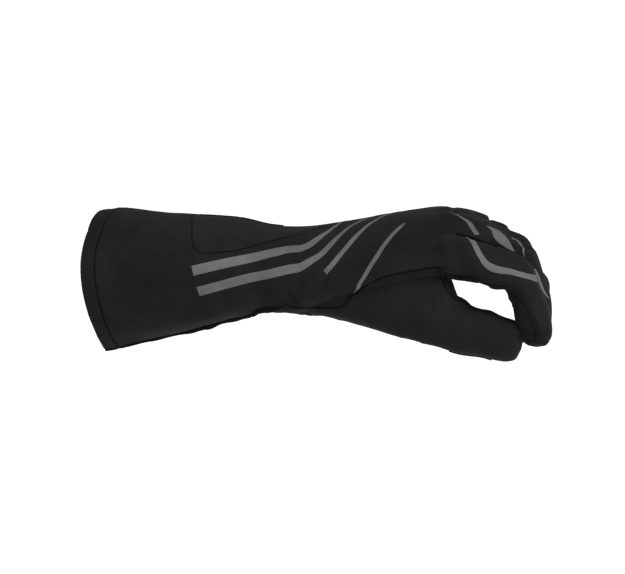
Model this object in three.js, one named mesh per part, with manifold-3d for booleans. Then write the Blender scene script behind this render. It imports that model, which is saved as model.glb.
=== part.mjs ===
// Long-cuff karting glove for the left hand, in the form it keeps when worn by a hand on a steering wheel.
// Millimetres. +X runs from the cuff to the fingers, +Z out of the back of the hand, -Y towards the thumb.
// The origin is the centre of the wrist. Every panel is an open fabric wall, so the glove is hollow from
// the cuff's mouth to each fingertip, and neighbouring panels are sewn edge to edge across SEAM_GAP.
import * as THREE from "three";
import { mergeVertices } from "three/addons/utils/BufferGeometryUtils.js";
import Module from "manifold-3d";

const wasm = await Module();
wasm.setup();

// Fabric and seams
const FABRIC_WALL = 1.8;
const HEM_WALL = 2.4;
const SEAM_GAP = 0.3;
const RIDGE_HEIGHT = 2.6;
const RIDGE_THICKNESS = 2.6;
const FINGER_RIDGE_HEIGHT = 1.5;
const THUMB_RIDGE_HEIGHT = 1.8;

// Gauntlet
const GAUNTLET_LENGTH = 107;
const MOUTH_WIDTH = 94;
const MOUTH_DEPTH = 77;
const MOUTH_DROP = 5;
const HEM_LENGTH = 10.5;
const WRIST_WIDTH = 62;
const WRIST_DEPTH = 43.5;

// Hand
const HAND_LENGTH = 93;
const PALM_DEPTH = 30.5;
const KNUCKLE_RISE = 20;
const KNUCKLE_ROLL = 12;
const KNUCKLE_ARCH = 8;
const WEB_REACH = 17;
const WEB_PITCH = 26;

// Fingers: a share of 1 in the finger table is the middle finger
const FINGER_WIDTH = 21;
const FINGER_DEPTH = 21;
const FINGER_LENGTH = 100;
const FINGER_SPACE = 1.0;
const FINGER_SEAM_DROP = 6.5;

// Thumb, measured from the wrist to its tip
const THUMB_REACH = 136;
const THUMB_SPREAD = 43;
const THUMB_DROP = 26;
const THUMB_WIDTH = 24;
const THUMB_DEPTH = 21;

// Stretch panel in the back of the wrist
const STRETCH_LENGTH = 88;
const STRETCH_START = 52;
const STRETCH_CORNER = 7;

const BODY_SIDES = 36;
const FINGER_SIDES = 14;
const THUMB_SIDES = 18;
const FAR = 90;

// Gives each row of a table its columns' names.
const table = (columns, rows) =>
  rows.map((row) => Object.fromEntries(columns.map((column, i) => [column, row[i]])));

// Sections of the gauntlet, from its mouth to the wrist. along: share of GAUNTLET_LENGTH; flare: 0 at the
// wrist's size, 1 at the mouth's; lift: share of MOUTH_DROP; yaw and pitch: degrees that the section is
// turned about Z and about Y; thumbSeam and littleSeam: degrees from +Z round to each side seam.
const GAUNTLET_SECTIONS = table(
  ["along", "flare", "lift", "yaw", "pitch", "thumbSeam", "littleSeam"],
  [
    [1.0, 1.0, -1.0, -8, -10, 156, 112],
    [0.8, 0.83, -0.6, -6, -5, 156, 112],
    [0.54, 0.54, -0.05, -2, -1, 156, 112],
    [0.4, 0.4, 0.25, 0, 0, 156, 112],
    [0.27, 0.24, 0.52, 0, 0, 156, 112],
    [0.12, 0.04, 0.6, 0, 0, 156, 112],
  ],
);

// Sections of the hand, from the wrist to the web of the fingers. along: share of HAND_LENGTH; palm: 0 at
// the wrist's size, 1 at the knuckles'; rise, roll and arch: shares of the knuckles' values; web and pitch:
// shares of WEB_REACH past the knuckles and of WEB_PITCH.
const HAND_SECTIONS = table(
  ["along", "palm", "rise", "roll", "arch", "web", "pitch", "yaw", "thumbSeam", "littleSeam"],
  [
    [0.0, 0.0, 0.08, 0.0, 0.0, 0, 0, 0, 152, 110],
    [0.2, 0.22, 0.15, 0.1, 0.1, 0, 0, 0, 140, 106],
    [0.36, 0.5, 0.32, 0.3, 0.3, 0, 0, 0, 118, 102],
    [0.58, 0.82, 0.58, 0.6, 0.6, 0, 0, 2, 101, 98],
    [0.82, 0.97, 0.79, 0.85, 0.9, 0, 0, 5, 104, 96],
    [1.0, 1.0, 0.86, 1.0, 1.0, 0, 0.45, 8, 112, 94],
    [1.0, 0.92, 0.77, 1.0, 1.0, 0.5, 1, 10, 114, 94],
    [1.0, 0.85, 0.58, 1.0, 1.0, 1, 1, 10, 116, 94],
  ],
);

// Fingers, from the thumb's side. back: share of HAND_LENGTH that the knuckle lies behind the longest one;
// rise: height of the knuckle's centre in shares of KNUCKLE_RISE; girth and length: shares of the middle
// finger; pitch: first bone's angle below +X; curl and tipCurl: bends at the two finger joints, in degrees.
const FINGERS = table(
  ["name", "back", "rise", "girth", "length", "first", "pitch", "curl", "tipCurl", "splay"],
  [
    ["index", 0.0, 1.42, 0.98, 0.88, 0.53, 22, 47, 10, -1.5],
    ["middle", 0.0, 1.64, 1.0, 1.0, 0.49, 26, 47, 14, -0.5],
    ["ring", 0.04, 1.22, 0.97, 0.93, 0.49, 24, 46, 16, 1],
    ["little", 0.12, 0.84, 0.86, 0.74, 0.49, 19, 35, 14, 3],
  ],
);

// Rings along a finger. bone: which of the three bones; share: place along it; near: joint clearance in
// finger depths; turn: share of the joint's bend that the ring has taken; size: share of the finger's
// girth; cap: how far the ring belongs to the round tip, from 0 to 1.
const FINGER_RINGS = table(
  ["bone", "share", "near", "turn", "size", "cap"],
  [
    [0, 0.0, 0, 0, 0.62, 0],
    [0, 0.22, 0, 0, 0.96, 0],
    [0, 0.5, 0, 0, 1.0, 0],
    [0, 1.0, -0.42, 0, 0.99, 0],
    [0, 1.0, 0, 0.5, 1.03, 0],
    [1, 0.0, 0.42, 0, 0.98, 0],
    [1, 1.0, 0, 0.5, 0.95, 0],
    [2, 0.5, 0, 0, 0.9, 0.1],
    [2, 0.78, 0, 0, 0.76, 0.5],
    [2, 0.93, 0, 0, 0.5, 0.85],
    [2, 1.0, 0, 0, 0.2, 1],
  ],
);

// Sections of the thumb and the ball of the thumb. along, out and drop: shares of THUMB_REACH,
// THUMB_SPREAD and THUMB_DROP; tall and deep: shares of THUMB_WIDTH and THUMB_DEPTH; cap: as for a finger.
const THUMB_SECTIONS = table(
  ["along", "out", "drop", "tall", "deep", "cap"],
  [
    [0.06, 0.14, 0.26, 0.85, 0.9, 0],
    [0.18, 0.37, 0.33, 1.04, 1.15, 0],
    [0.36, 0.63, 0.24, 1.28, 1.25, 0],
    [0.56, 0.8, 0.15, 1.83, 1.18, 0],
    [0.665, 0.87, 0.23, 1.76, 1.08, 0],
    [0.705, 0.91, 0.52, 1.24, 1.04, 0],
    [0.77, 0.95, 0.69, 1.05, 1.0, 0],
    [0.86, 0.97, 0.81, 0.96, 1.0, 0],
    [0.925, 1.0, 0.91, 0.89, 0.92, 0.1],
    [0.965, 1.0, 0.96, 0.76, 0.76, 0.5],
    [0.99, 1.0, 0.98, 0.48, 0.48, 0.85],
    [1.0, 1.0, 0.99, 0.16, 0.18, 1],
  ],
);

// The thumb's broad side faces this way round the hand: its seams run along the edges of that side.
const THUMB_UP = new THREE.Vector3(0, 0.42, 0.91).normalize();
const THUMB_OUT = new THREE.Vector3(0, -THUMB_UP.z, THUMB_UP.y);

// Outline of the stretch panel seen from above. along: share of STRETCH_LENGTH from its cuff end; near and
// far: edges as shares of half the wrist's width.
const STRETCH_OUTLINE = table(
  ["along", "near", "far"],
  [
    [0.0, -0.78, 0.78],
    [0.28, -0.74, 0.78],
    [0.44, -0.22, 0.76],
    [0.57, -0.1, 0.74],
    [0.71, 0.0, 0.7],
    [0.84, 0.26, 0.66],
    [1.0, 0.5, 0.58],
  ],
);

const VERTICAL = new THREE.Vector3(0, 0, 1);
const radians = THREE.MathUtils.degToRad;
const mix = THREE.MathUtils.lerp;
const point = (x, y, z) => new THREE.Vector3(x, y, z);

// A closed solid through rings of points that have the same count and turn the same way.
function loftRings(rings) {
  const count = rings[0].length;
  const positions = rings.flat().flatMap((p) => [p.x, p.y, p.z]);
  const faces = [];
  for (let r = 0; r + 1 < rings.length; r++) {
    for (let i = 0; i < count; i++) {
      const here = r * count + i;
      const beside = r * count + ((i + 1) % count);
      faces.push(here, beside, beside + count, here, beside + count, here + count);
    }
  }
  for (const [ring, first] of [[rings[0], true], [rings.at(-1), false]]) {
    const base = first ? 0 : (rings.length - 1) * count;
    const centre = positions.length / 3;
    const middle = ring.reduce((sum, p) => sum.add(p), point(0, 0, 0)).divideScalar(count);
    positions.push(middle.x, middle.y, middle.z);
    for (let i = 0; i < count; i++) {
      const next = (i + 1) % count;
      faces.push(centre, base + (first ? next : i), base + (first ? i : next));
    }
  }
  return solidFrom(positions, faces);
}

// A manifold solid from loose lists, turned face outwards.
function solidFrom(positions, faces) {
  const geometry = new THREE.BufferGeometry();
  geometry.setAttribute("position", new THREE.Float32BufferAttribute(positions, 3));
  geometry.setIndex(faces);
  const merged = mergeVertices(geometry, 1e-4);
  const build = (triangles) =>
    new wasm.Manifold(
      new wasm.Mesh({ numProp: 3, vertProperties: merged.attributes.position.array, triVerts: triangles }),
    );
  const triangles = new Uint32Array(merged.index.array);
  const solid = build(triangles);
  if (solid.volume() > 0) return solid;
  return build(triangles.map((v, i) => triangles[i - (i % 3) + (2 - (i % 3))]));
}

const union = (solids) => solids.reduce((sum, solid) => sum.add(solid));

// Cuts that meet at a low angle leave crumbs beside the panel; only the panel is kept.
const largestBody = (solid) =>
  solid
    .asOriginal()
    .simplify(0.005)
    .decompose()
    .reduce((most, body) => (body.volume() > most.volume() ? body : most));

// One ring of a soft tube: an ellipse slightly squared, bent down at its sides by arch.
function ringPoints({ centre, side, up, halfSide, halfUp, arch = 0, square = 2.3 }, count) {
  const points = [];
  for (let i = 0; i < count; i++) {
    const angle = (2 * Math.PI * i) / count;
    const across = Math.sign(Math.sin(angle)) * Math.abs(Math.sin(angle)) ** (2 / square);
    const over = Math.sign(Math.cos(angle)) * Math.abs(Math.cos(angle)) ** (2 / square);
    const p = centre.clone().addScaledVector(side, across * halfSide);
    points.push(p.addScaledVector(up, over * halfUp + arch * (0.5 - across * across)));
  }
  return points;
}

// A ring grown outwards, or shrunk by a negative offset, and moved with it along the way it faces.
function grownRing(ring, offset, least = 0.35) {
  return {
    ...ring,
    centre: ring.centre.clone().addScaledVector(ring.ahead, offset * (ring.cap ?? 0)),
    halfSide: Math.max(ring.halfSide + offset, least),
    halfUp: Math.max(ring.halfUp + offset, least),
  };
}

const tube = (rings, offset, count) =>
  loftRings(rings.map((ring) => ringPoints(grownRing(ring, offset), count)));

// A solid between two straight edges that both follow a run of rings. low and high are heights above each
// ring's own middle plane, and reach is how far it runs past the ring's sides.
function flatRun(rings, low, high, reach, endReach) {
  const bars = rings.map((ring, i) => {
    const cap = i === rings.length - 1 ? endReach : 0;
    const centre = ring.centre.clone().addScaledVector(ring.ahead, cap);
    const at = (across, over) =>
      centre
        .clone()
        .addScaledVector(ring.side, across * (ring.halfSide + reach))
        .addScaledVector(ring.up, over);
    return [at(-1, low), at(1, low), at(1, high), at(-1, high)];
  });
  return loftRings(bars);
}

// Sections of the gauntlet and the hand, as rings
const fingerHalfWidths = FINGERS.map((finger) => (finger.girth * FINGER_WIDTH) / 2);
const fingerSpaces = FINGER_SPACE * (FINGERS.length - 1);
const knuckleSpan = 2 * fingerHalfWidths.reduce((sum, half) => sum + half, 0) + fingerSpaces;
const palmWidth = knuckleSpan + 2 * FABRIC_WALL;

function bodyRing(x, height, half, { roll, yaw, pitch = 0, arch = 0, thumbSeam, littleSeam, cap = 0 }) {
  const level = point(-Math.sin(radians(yaw)), Math.cos(radians(yaw)), 0);
  const straight = point(level.y, -level.x, 0);
  const ahead = straight.clone().applyAxisAngle(level, radians(pitch));
  const side = level.clone().applyAxisAngle(ahead, -radians(roll));
  const up = ahead.clone().cross(side);
  const centre = point(x, 0, height);
  return { centre, ahead, side, up, halfSide: half[0], halfUp: half[1], arch, thumbSeam, littleSeam, cap };
}

const gauntletRings = GAUNTLET_SECTIONS.map((row) =>
  bodyRing(
    -row.along * GAUNTLET_LENGTH,
    row.lift * MOUTH_DROP,
    [mix(WRIST_WIDTH, MOUTH_WIDTH, row.flare) / 2, mix(WRIST_DEPTH, MOUTH_DEPTH, row.flare) / 2],
    { ...row, roll: 0 },
  ),
);
const handRings = HAND_SECTIONS.map((row) =>
  bodyRing(
    row.along * HAND_LENGTH + row.web * WEB_REACH,
    row.rise * KNUCKLE_RISE,
    [mix(WRIST_WIDTH, palmWidth, row.palm) / 2, mix(WRIST_DEPTH, PALM_DEPTH, row.palm) / 2],
    { ...row, roll: row.roll * KNUCKLE_ROLL, pitch: row.pitch * WEB_PITCH, arch: row.arch * KNUCKLE_ARCH },
  ),
);

// The body's ring at any place along it.
function ringAt(x) {
  const rings = [...gauntletRings, ...handRings];
  const i = Math.max(rings.findIndex((ring) => ring.centre.x > x), 1);
  const [a, b] = [rings[i - 1], rings[i]];
  const t = (x - a.centre.x) / (b.centre.x - a.centre.x);
  const between = (key) => a[key].clone().lerp(b[key], t).normalize();
  return {
    centre: a.centre.clone().lerp(b.centre, t),
    ahead: between("ahead"),
    side: between("side"),
    up: between("up"),
    halfSide: mix(a.halfSide, b.halfSide, t),
    halfUp: mix(a.halfUp, b.halfUp, t),
    arch: mix(a.arch, b.arch, t),
    thumbSeam: mix(a.thumbSeam, b.thumbSeam, t),
    littleSeam: mix(a.littleSeam, b.littleSeam, t),
  };
}

// The hem's edge lies parallel to the mouth, and the gauntlet begins past it.
const mouthRing = gauntletRings[0];
const hemRing = ringAt(-GAUNTLET_LENGTH + HEM_LENGTH);
hemRing.side = mouthRing.side;
hemRing.up = mouthRing.up;
hemRing.ahead = mouthRing.ahead;
const pushed = (ring, distance) => ({
  ...ring,
  centre: ring.centre.clone().addScaledVector(ring.ahead, distance),
});
const bodyRings = [pushed(hemRing, SEAM_GAP), ...gauntletRings.slice(1), ...handRings];
const openEnd = pushed(hemRing, -HEM_LENGTH);

// Fingers, as rings
let across = -knuckleSpan / 2;
const fingerRings = FINGERS.map((finger, i) => {
  across += fingerHalfWidths[i];
  const knuckle = point((1 - finger.back) * HAND_LENGTH, across, finger.rise * KNUCKLE_RISE);
  across += fingerHalfWidths[i] + FINGER_SPACE;
  const length = finger.length * FINGER_LENGTH;
  const past = 1 - finger.first;
  const bones = [finger.first, past * 0.52, past * 0.48].map((share) => share * length);
  const bends = [finger.pitch, finger.pitch + finger.curl, finger.pitch + finger.curl + finger.tipCurl];
  const side = point(0, 1, 0)
    .applyAxisAngle(point(0, 0, 1), radians(finger.splay))
    .applyAxisAngle(point(1, 0, 0), -radians(0.6 * KNUCKLE_ROLL));
  const level = side.clone().cross(point(0, 0, 1)).normalize();
  const aheadAt = (degrees) => level.clone().applyAxisAngle(side, radians(degrees));
  const starts = [knuckle];
  bones.forEach((bone, b) => {
    starts.push(starts[b].clone().addScaledVector(aheadAt(bends[b]), bone));
  });
  return FINGER_RINGS.map((ring) => {
    const depth = finger.girth * FINGER_DEPTH;
    const distance = ring.share * bones[ring.bone] + ring.near * depth;
    const centre = starts[ring.bone].clone().addScaledVector(aheadAt(bends[ring.bone]), distance);
    const next = bends[ring.bone + 1] ?? bends[ring.bone];
    const ahead = aheadAt(mix(bends[ring.bone], next, ring.turn));
    return {
      centre,
      ahead,
      side,
      up: ahead.clone().cross(side),
      halfSide: (ring.size * finger.girth * FINGER_WIDTH) / 2,
      halfUp: (ring.size * depth) / 2,
      cap: ring.cap,
    };
  });
});

// Thumb, as rings
const thumbCentres = THUMB_SECTIONS.map((row) =>
  point(row.along * THUMB_REACH, -row.out * THUMB_SPREAD, -row.drop * THUMB_DROP),
);
const thumbRings = THUMB_SECTIONS.map((row, i) => {
  const before = thumbCentres[Math.max(i - 1, 0)];
  const after = thumbCentres[Math.min(i + 1, thumbCentres.length - 1)];
  const run = after.clone().sub(before).normalize();
  const ahead = run.add(point(1, 0, 0)).normalize();
  const up = THUMB_UP.clone().addScaledVector(ahead, -THUMB_UP.dot(ahead)).normalize();
  return {
    centre: thumbCentres[i],
    ahead,
    side: up,
    up: ahead.clone().cross(up),
    halfSide: (row.tall * THUMB_WIDTH) / 2,
    halfUp: (row.deep * THUMB_DEPTH) / 2,
    cap: row.cap,
  };
});

// The volume above the side seams: a ruled surface through both seams of each section, raised by height.
function backRegion(height) {
  const stations = [pushed(openEnd, -FAR / 3), openEnd, ...bodyRings, pushed(bodyRings.at(-1), FAR)];
  const bars = stations.map((ring) => {
    const seam = (degrees, sign) =>
      ring.centre
        .clone()
        .addScaledVector(ring.side, sign * Math.sin(radians(degrees)) * ring.halfSide)
        .addScaledVector(ring.up, Math.cos(radians(degrees)) * ring.halfUp);
    const near = seam(ring.thumbSeam, -1);
    const far = seam(ring.littleSeam, 1);
    const run = far.clone().sub(near).normalize();
    const a = near.clone().addScaledVector(run, -FAR / 3);
    const b = far.clone().addScaledVector(run, FAR / 3);
    return [a, b, b.clone().addScaledVector(VERTICAL, 2 * FAR), a.clone().addScaledVector(VERTICAL, 2 * FAR)];
  });
  return loftRings(bars).translate([0, 0, height]);
}

// The volume on the outer side of the thumb's two seams, from the wrist to past its tip.
function thumbOuterRegion(offset) {
  const stations = [pushed(thumbRings[0], -FAR / 3), ...thumbRings, pushed(thumbRings.at(-1), FAR / 3)];
  const bars = stations.map((ring) => {
    const at = (reach, out) =>
      ring.centre.clone().addScaledVector(THUMB_UP, reach * FAR).addScaledVector(THUMB_OUT, out);
    return [at(-1, offset), at(1, offset), at(1, offset + FAR), at(-1, offset + FAR)];
  });
  return loftRings(bars);
}

// Everything between two places along the glove.
function slabBetween(low, high) {
  const squareAt = (x) =>
    [[-1, -1], [1, -1], [1, 1], [-1, 1]].map(([y, z]) => point(x, y * FAR * 2, z * FAR * 2));
  return loftRings([squareAt(low), squareAt(high)]);
}

// Whole walls, before they are cut into panels
const bodyOuter = tube(bodyRings, 0, BODY_SIDES);
const innerRings = [
  pushed(hemRing, -HEM_LENGTH - 1),
  ...bodyRings.slice(0, -1),
  pushed(bodyRings.at(-1), -FABRIC_WALL),
];
const bodyInner = tube(innerRings, -FABRIC_WALL, BODY_SIDES);
const thumbOuter = tube(thumbRings, 0, THUMB_SIDES);
const thumbInner = tube(thumbRings, -FABRIC_WALL, THUMB_SIDES);
const fingerOuters = fingerRings.map((rings) => tube(rings, 0, FINGER_SIDES));
const fingerInners = fingerRings.map((rings) => tube(rings, -FABRIC_WALL, FINGER_SIDES));
const hollow = union([bodyInner, thumbInner, ...fingerInners]);

// Seam ridges: the sewn edges of two panels, turned outwards
const wristSeamX = 0.1 * HAND_LENGTH;
const ridgeEndX = 0.33 * HAND_LENGTH;
const crotchX = THUMB_SECTIONS[5].along * THUMB_REACH;
const thumbRidgeEndX = THUMB_SECTIONS[9].along * THUMB_REACH;
const ridgePlane = backRegion(-RIDGE_THICKNESS / 2).subtract(backRegion(RIDGE_THICKNESS / 2));
const sideRidges = tube(bodyRings, RIDGE_HEIGHT, BODY_SIDES)
  .intersect(ridgePlane)
  .intersect(slabBetween(-GAUNTLET_LENGTH - FAR, ridgeEndX));
const thumbRidge = tube(thumbRings, THUMB_RIDGE_HEIGHT, THUMB_SIDES)
  .intersect(thumbOuterRegion(-RIDGE_THICKNESS / 2).subtract(thumbOuterRegion(RIDGE_THICKNESS / 2)))
  .intersect(slabBetween(crotchX, thumbRidgeEndX));
const fingerRidge = (rings) =>
  tube(rings, FINGER_RIDGE_HEIGHT, FINGER_SIDES).intersect(
    flatRun(
      rings,
      -FINGER_SEAM_DROP - RIDGE_THICKNESS / 2,
      -FINGER_SEAM_DROP + RIDGE_THICKNESS / 2,
      FINGER_RIDGE_HEIGHT,
      RIDGE_HEIGHT,
    ),
  );

// Everything past the web of the fingers belongs to the fingers, everything before it to the hand.
const webRing = bodyRings.at(-1);
const pastWeb = (distance) => {
  const start = pushed(webRing, distance);
  const corner = (a, b) =>
    start.centre
      .clone()
      .addScaledVector(start.side, a * FAR)
      .addScaledVector(start.up, b * FAR);
  const face = [corner(-1, -1), corner(1, -1), corner(1, 1), corner(-1, 1)];
  return loftRings([face, face.map((p) => p.clone().addScaledVector(start.ahead, FAR * 2))]);
};
const fingerWalls = fingerRings.map((rings, i) =>
  fingerOuters[i].add(fingerRidge(rings)).subtract(fingerInners[i]).intersect(pastWeb(SEAM_GAP)),
);
const fingerStarts = union(fingerOuters).subtract(pastWeb(0));
const bodyWall = union([bodyOuter, thumbOuter, fingerStarts, sideRidges, thumbRidge]).subtract(hollow);

// Panels
const backSide = backRegion(SEAM_GAP / 2);
const palmSide = bodyWall.subtract(backRegion(-SEAM_GAP / 2));
const beforeWrist = slabBetween(-GAUNTLET_LENGTH - FAR, wristSeamX - SEAM_GAP / 2);
const afterWrist = slabBetween(wristSeamX + SEAM_GAP / 2, THUMB_REACH + FAR);
const thumbSpace = (offset) =>
  tube(thumbRings, 2 * RIDGE_HEIGHT + offset, THUMB_SIDES).intersect(
    slabBetween(crotchX - offset, THUMB_REACH + FAR),
  );

function stretchPrism(offset) {
  const rows = STRETCH_OUTLINE.map((row) => ({
    x: -STRETCH_START + row.along * STRETCH_LENGTH + (row.along > 0 ? offset : -offset),
    near: (row.near * WRIST_WIDTH) / 2 - offset,
    far: (row.far * WRIST_WIDTH) / 2 + offset,
  }));
  const corner = STRETCH_CORNER;
  const shape = new THREE.Shape();
  shape.moveTo(rows[0].x, rows[0].near + corner);
  shape.quadraticCurveTo(rows[0].x, rows[0].near, rows[0].x + corner, rows[0].near);
  rows.slice(1).forEach((row) => shape.lineTo(row.x, row.near));
  rows.slice(1).reverse().forEach((row) => shape.lineTo(row.x, row.far));
  shape.lineTo(rows[0].x + corner, rows[0].far);
  shape.quadraticCurveTo(rows[0].x, rows[0].far, rows[0].x, rows[0].far - corner);
  const prism = new THREE.ExtrudeGeometry(shape, { depth: FAR, bevelEnabled: false, curveSegments: 4 });
  prism.deleteAttribute("normal");
  prism.deleteAttribute("uv");
  const merged = mergeVertices(prism, 1e-4);
  return solidFrom(Array.from(merged.attributes.position.array), Array.from(merged.index.array));
}

const backWall = bodyWall.intersect(backSide).subtract(thumbSpace(0));
const backAround = backWall.subtract(stretchPrism(SEAM_GAP));
const handUnderside = palmSide.intersect(afterWrist);
const innerSide = handUnderside.subtract(thumbOuterRegion(-SEAM_GAP / 2));

const panels = new Map([
  ["gauntlet_back", backAround.intersect(beforeWrist)],
  ["gauntlet_palm", palmSide.intersect(beforeWrist)],
  ["wrist_stretch_panel", backWall.intersect(stretchPrism(0))],
  ["hand_back", backAround.intersect(afterWrist)],
  ["palm", innerSide.subtract(thumbSpace(SEAM_GAP))],
  ["thumb_outer", handUnderside.intersect(thumbOuterRegion(SEAM_GAP / 2))],
  ["thumb_inner", innerSide.intersect(thumbSpace(0))],
]);

// Hem: a doubled band round the mouth, sewn through the side seams' ridges
const hemBand = [pushed(hemRing, -HEM_LENGTH), hemRing];
const hemRidges = tube(hemBand, RIDGE_HEIGHT, BODY_SIDES).intersect(ridgePlane);
panels.set(
  "cuff_hem",
  tube(hemBand, HEM_WALL - FABRIC_WALL, BODY_SIDES)
    .add(hemRidges)
    .subtract(tube([pushed(hemRing, -HEM_LENGTH - 1), pushed(hemRing, 1)], -FABRIC_WALL, BODY_SIDES)),
);

// Fingers: each has a back and a palm half, sewn along both sides and round the tip
FINGERS.forEach((finger, i) => {
  const depth = finger.girth * FINGER_DEPTH;
  const overSeam = (offset) =>
    flatRun(fingerRings[i], offset - FINGER_SEAM_DROP, depth, 2 * RIDGE_HEIGHT, 2 * RIDGE_HEIGHT);
  panels.set(`${finger.name}_finger_back`, fingerWalls[i].intersect(overSeam(SEAM_GAP / 2)));
  panels.set(`${finger.name}_finger_palm`, fingerWalls[i].subtract(overSeam(-SEAM_GAP / 2)));
});

// Finishes, as they look in the photographed light. words: parts of the nodes' names that have the finish.
const FINISHES = table(
  ["words", "color", "roughness"],
  [
    [/stretch/, 0x232324, 0.8],
    [/hem/, 0x1d1d1e, 0.85],
    [/^palm|thumb_inner|finger_palm/, 0x1a1a1b, 0.95],
    [/./, 0x1f1f20, 0.85],
  ],
);

function meshOf(name, solid) {
  const { vertProperties, triVerts, numProp } = largestBody(solid).getMesh();
  const corners = new THREE.InterleavedBuffer(vertProperties, numProp);
  const geometry = new THREE.BufferGeometry();
  geometry.setAttribute("position", new THREE.InterleavedBufferAttribute(corners, 3, 0));
  geometry.setIndex(new THREE.BufferAttribute(triVerts, 1));
  const { color, roughness } = FINISHES.find((finish) => finish.words.test(name));
  const material = new THREE.MeshStandardMaterial({ color, roughness, metalness: 0 });
  const mesh = new THREE.Mesh(geometry.toNonIndexed(), material);
  mesh.geometry.computeVertexNormals();
  mesh.name = name;
  return mesh;
}

// Assembly: the gauntlet with its hem and stretch panel, the hand with the thumb, and the four fingers
const groups = new Map(
  ["gauntlet", "hand", ...FINGERS.map((finger) => `${finger.name}_finger`)].map((name) => {
    const group = new THREE.Group();
    group.name = `${name}_group`;
    return [name, group];
  }),
);
const groupOf = (name) => {
  if (/gauntlet|hem|stretch/.test(name)) return groups.get("gauntlet");
  return groups.get(name.replace(/_(back|palm)$/, "")) ?? groups.get("hand");
};
for (const [name, solid] of panels) groupOf(name).add(meshOf(name, solid));

const glove = new THREE.Group();
glove.name = "karting_glove";
glove.add(...groups.values());

export default glove;
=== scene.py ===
"""A long-cuff karting glove for the left hand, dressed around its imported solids.

Metres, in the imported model's frame: +X from the cuff to the fingers, +Z out of the back of the hand, -Y
towards the thumb, and the origin at the centre of the wrist.
"""

import logging
import math
from dataclasses import dataclass, replace
from enum import Enum
from itertools import pairwise
from typing import Callable, Iterable, Sequence

import bmesh
import bpy
import numpy as np
from bmesh.types import BMesh
from mathutils import Matrix, Vector, noise
from mathutils.bvhtree import BVHTree


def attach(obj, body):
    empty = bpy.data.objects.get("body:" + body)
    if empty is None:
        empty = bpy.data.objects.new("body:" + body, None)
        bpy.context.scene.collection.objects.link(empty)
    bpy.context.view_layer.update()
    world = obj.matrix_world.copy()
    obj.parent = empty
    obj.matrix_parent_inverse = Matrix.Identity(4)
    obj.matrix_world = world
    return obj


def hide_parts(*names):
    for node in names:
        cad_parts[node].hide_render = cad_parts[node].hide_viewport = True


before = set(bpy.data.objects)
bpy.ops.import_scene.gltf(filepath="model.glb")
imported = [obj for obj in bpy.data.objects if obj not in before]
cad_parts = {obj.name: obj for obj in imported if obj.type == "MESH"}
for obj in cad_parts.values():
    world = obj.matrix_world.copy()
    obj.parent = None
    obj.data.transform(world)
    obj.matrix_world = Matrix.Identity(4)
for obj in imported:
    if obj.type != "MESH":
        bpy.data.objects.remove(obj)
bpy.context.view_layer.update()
LOG = logging.getLogger("glove")

MM = 0.001
BODY = "root"
CAD_WALL = 1.8 * MM
FABRIC_WALL = 1.4 * MM
LEAST_HALF = 0.35 * MM
SQUARENESS = 2.3
VERTICAL = Vector((0.0, 0.0, 1.0))
THUMB_UP = Vector((0.0, 0.42, 0.91)).normalized()


class Slot(Enum):
    """The record's material slots."""

    KNIT = "knit_shell"
    SUEDE = "suede_palm"
    STRETCH = "stretch_panel"
    HEM = "hem_band"
    PRINT = "grey_print"


# Rings


@dataclass(frozen=True)
class Ring:
    """One section of a soft tube: a slightly squared ellipse, bent down at its sides by arch."""

    centre: Vector
    ahead: Vector
    side: Vector
    up: Vector
    half_side: float
    half_up: float
    arch: float = 0.0
    cap: float = 0.0
    thumb_seam: float = 150.0
    little_seam: float = 110.0
    power: float = SQUARENESS

    def point(self, across: float, over: float) -> Vector:
        """The point at shares across and over of the half sizes."""
        bend = self.arch * (0.5 - across * across)
        return self.centre + self.side * (across * self.half_side) + self.up * (over * self.half_up + bend)

    def edge(self, degrees: float, sign: float = 1.0) -> Vector:
        """The point of the outline that many degrees round from the top, on the sign's side."""
        angle = math.radians(degrees)
        return self.point(*squared(sign * math.sin(angle), math.cos(angle), self.power))

    def grown(self, offset: float) -> "Ring":
        """The ring made larger all round by offset."""
        return replace(
            self,
            centre=self.centre + self.ahead * (offset * self.cap),
            half_side=max(self.half_side + offset, LEAST_HALF),
            half_up=max(self.half_up + offset, LEAST_HALF),
        )

    def pushed(self, distance: float) -> "Ring":
        """The ring moved along the way that it faces."""
        return replace(self, centre=self.centre + self.ahead * distance)


def squared(across: float, over: float, power: float) -> tuple[float, float]:
    """A point of the unit circle moved onto the slightly squared outline."""
    bent = 2.0 / power
    return math.copysign(abs(across) ** bent, across), math.copysign(abs(over) ** bent, over)


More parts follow.
